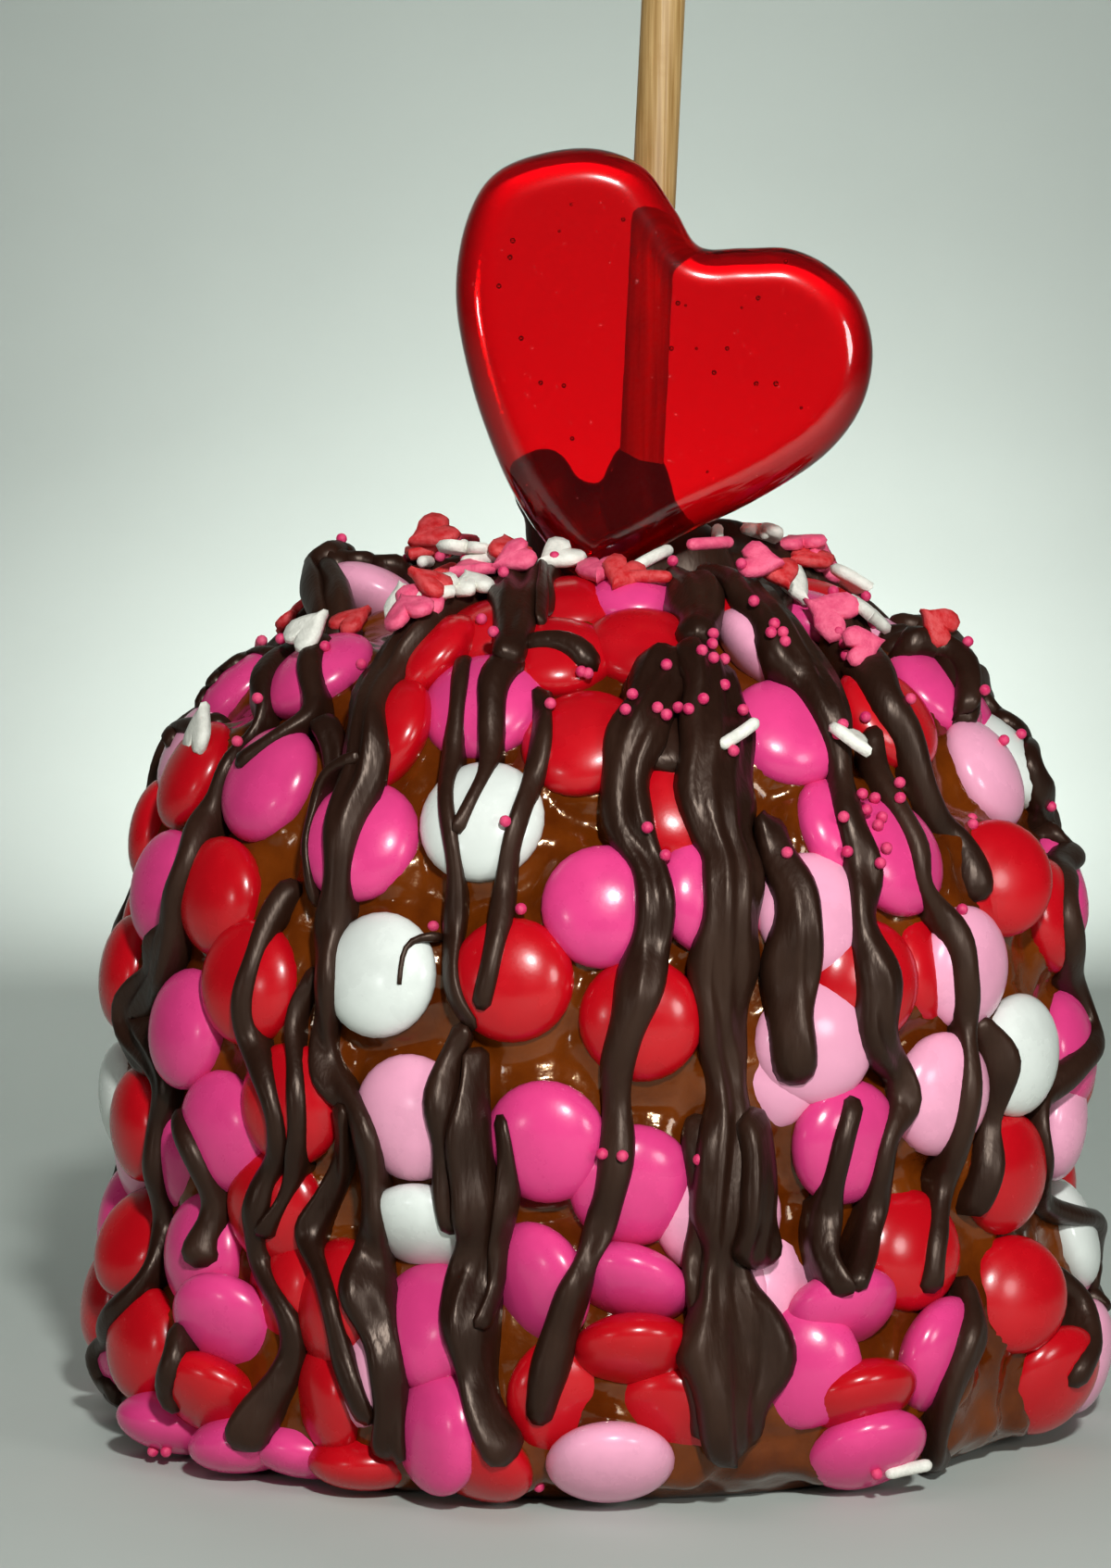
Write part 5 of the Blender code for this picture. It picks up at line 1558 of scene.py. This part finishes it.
class SCENE_OT_apple_stage(bpy.types.Operator):
    """Set up the pale floor, the soft light and the camera"""

    bl_idname = "scene.apple_stage"
    bl_label = "Stage"

    def execute(self, context):
        sizes = settings().stage
        self.floor(tuple(sizes.floor))
        self.light("key", (0.07, -0.56, 0.36), (0.0, 0.0, 0.06), 0.045, sizes.key_power)
        self.light("side", (0.3, -0.38, 0.16), (0.0, 0.0, 0.08), 0.12, sizes.side_power)
        self.light("glint", (-0.32, -0.36, 0.1), (0.0, 0.0, 0.1), 0.05, sizes.glint_power)
        overhead = self.light("overhead", (-0.25, -0.15, 0.75), (0.0, 0.0, 0.05), 0.6, sizes.fill_power)
        overhead.visible_glossy = False
        glow = self.light("backdrop", (0.01, 0.34, 0.12), (0.01, 0.62, 0.07), 0.2, sizes.back_power)
        glow.visible_camera = False
        behind = self.light("behind", (-0.14, 0.36, 0.3), (0.0, 0.02, 0.07), 0.2, sizes.behind_power)
        behind.visible_camera = behind.visible_glossy = behind.visible_transmission = False
        world = bpy.data.worlds.new("soft_surround")
        world.use_nodes = True
        surround = world.node_tree.nodes["Background"].inputs
        surround["Color"].default_value = SURROUND
        surround["Strength"].default_value = SURROUND_STRENGTH
        context.scene.world = world
        context.scene.view_settings.view_transform = "Standard"
        self.camera(context)
        return {"FINISHED"}

    @staticmethod
    def floor(base):
        """A floor that sweeps up into a backdrop, which is clear when seen from behind."""
        rows = [(FLOOR_FROM, 0.0), (FLOOR_TURN, 0.0)]
        rows += [(FLOOR_TURN + FLOOR_SWEEP * math.sin(a), FLOOR_SWEEP * (1 - math.cos(a)))
                 for a in (math.radians(10 * k) for k in range(1, 10))]
        rows.append((FLOOR_TURN + FLOOR_SWEEP, BACKDROP_TOP))
        points = [(x, y, z) for y, z in rows for x in (-FLOOR_HALF, FLOOR_HALF)]
        faces = [(2 * i, 2 * i + 1, 2 * i + 3, 2 * i + 2) for i in range(len(rows) - 1)]
        finish = Finish("pale_floor")
        cloud = finish.mottle(7.0, 0.3, 0.75)
        finish.colour(finish.blend(cloud, tinted(base, 0.05, BLACK), base))
        finish.ranged(cloud, 0.6, 0.75, "Roughness")
        geometry = finish.tree.nodes.new("ShaderNodeNewGeometry")
        finish.ranged(geometry.outputs["Backfacing"], 1.0, 0.0, "Alpha")
        mesh = bpy.data.meshes.new("floor")
        mesh.from_pydata(points, [], faces)
        mesh.shade_smooth()
        floor = bpy.data.objects.new("floor", mesh)
        floor.data.materials.append(finish.material)
        bpy.context.scene.collection.objects.link(floor)

    @staticmethod
    def light(name, place, aim, size, power):
        """A round area light of that size, in metres and watts, turned to its aim."""
        data = bpy.data.lights.new(name, "AREA")
        data.shape, data.size, data.energy = "DISK", size, power
        lamp = bpy.data.objects.new(name, data)
        lamp.location = place
        lamp.rotation_euler = (Vector(aim) - Vector(place)).to_track_quat("-Z", "Y").to_euler()
        bpy.context.scene.collection.objects.link(lamp)
        return lamp

    @staticmethod
    def camera(context):
        """The camera stands at the eye and looks at the board."""
        data = bpy.data.cameras.new("camera")
        data.lens, data.sensor_width = SENSOR * LENS_PIXELS / FRAME_PIXELS, SENSOR
        data.clip_start, data.clip_end = 0.05, 20.0
        camera = bpy.data.objects.new("camera", data)
        camera.location = EYE * MM
        camera.rotation_euler = (math.pi / 2 - BOARD_TILT, 0.0, 0.0)
        context.scene.collection.objects.link(camera)
        context.scene.camera = camera


# ---------------------------------------------------------------- the add-on


class CaramelAppleSettings(bpy.types.PropertyGroup):
    coating: PointerProperty(type=CoatingSettings, name="Coating", description="Caramel and candies")
    drizzle: PointerProperty(type=DrizzleSettings, name="Drizzle", description="Chocolate strands")
    sprinkles: PointerProperty(type=SprinkleSettings, name="Sprinkles", description="Sugar sprinkles")
    heart: PointerProperty(type=HeartSettings, name="Heart", description="Candy heart")
    stick: PointerProperty(type=StickSettings, name="Stick", description="Bamboo stick")
    stage: PointerProperty(type=StageSettings, name="Stage", description="Floor and light")


class VIEW3D_PT_caramel_apple(bpy.types.Panel):
    bl_idname = "VIEW3D_PT_caramel_apple"
    bl_label = "Caramel Apple"
    bl_space_type = "VIEW_3D"
    bl_region_type = "UI"
    bl_category = "Caramel Apple"

    def draw(self, context):
        chosen = context.scene.caramel_apple
        for group, operators in (
            (chosen.coating, ("object.apple_caramel", "object.apple_candies")),
            (chosen.drizzle, ("object.apple_drizzle",)),
            (chosen.sprinkles, ("object.apple_sprinkles",)),
            (chosen.heart, ("object.apple_heart",)),
            (chosen.stick, ("object.apple_stick",)),
            (chosen.stage, ("scene.apple_stage",)),
        ):
            box = self.layout.box()
            for name in group.__annotations__:
                box.prop(group, name)
            for operator in operators:
                box.operator(operator)


CLASSES = (
    CoatingSettings,
    DrizzleSettings,
    SprinkleSettings,
    HeartSettings,
    StickSettings,
    StageSettings,
    CaramelAppleSettings,
    OBJECT_OT_apple_caramel,
    OBJECT_OT_apple_candies,
    OBJECT_OT_apple_drizzle,
    OBJECT_OT_apple_sprinkles,
    OBJECT_OT_apple_heart,
    OBJECT_OT_apple_stick,
    SCENE_OT_apple_stage,
    VIEW3D_PT_caramel_apple,
)


def register():
    for cls in CLASSES:
        bpy.utils.register_class(cls)
    bpy.types.Scene.caramel_apple = PointerProperty(type=CaramelAppleSettings)


def unregister():
    del bpy.types.Scene.caramel_apple
    for cls in reversed(CLASSES):
        bpy.utils.unregister_class(cls)


def main():
    register()
    bpy.ops.object.apple_caramel()
    bpy.ops.object.apple_candies()
    bpy.ops.object.apple_drizzle()
    bpy.ops.object.apple_sprinkles()
    bpy.ops.object.apple_heart()
    bpy.ops.object.apple_stick()
    bpy.ops.scene.apple_stage()


if __name__ == "__main__":
    main()
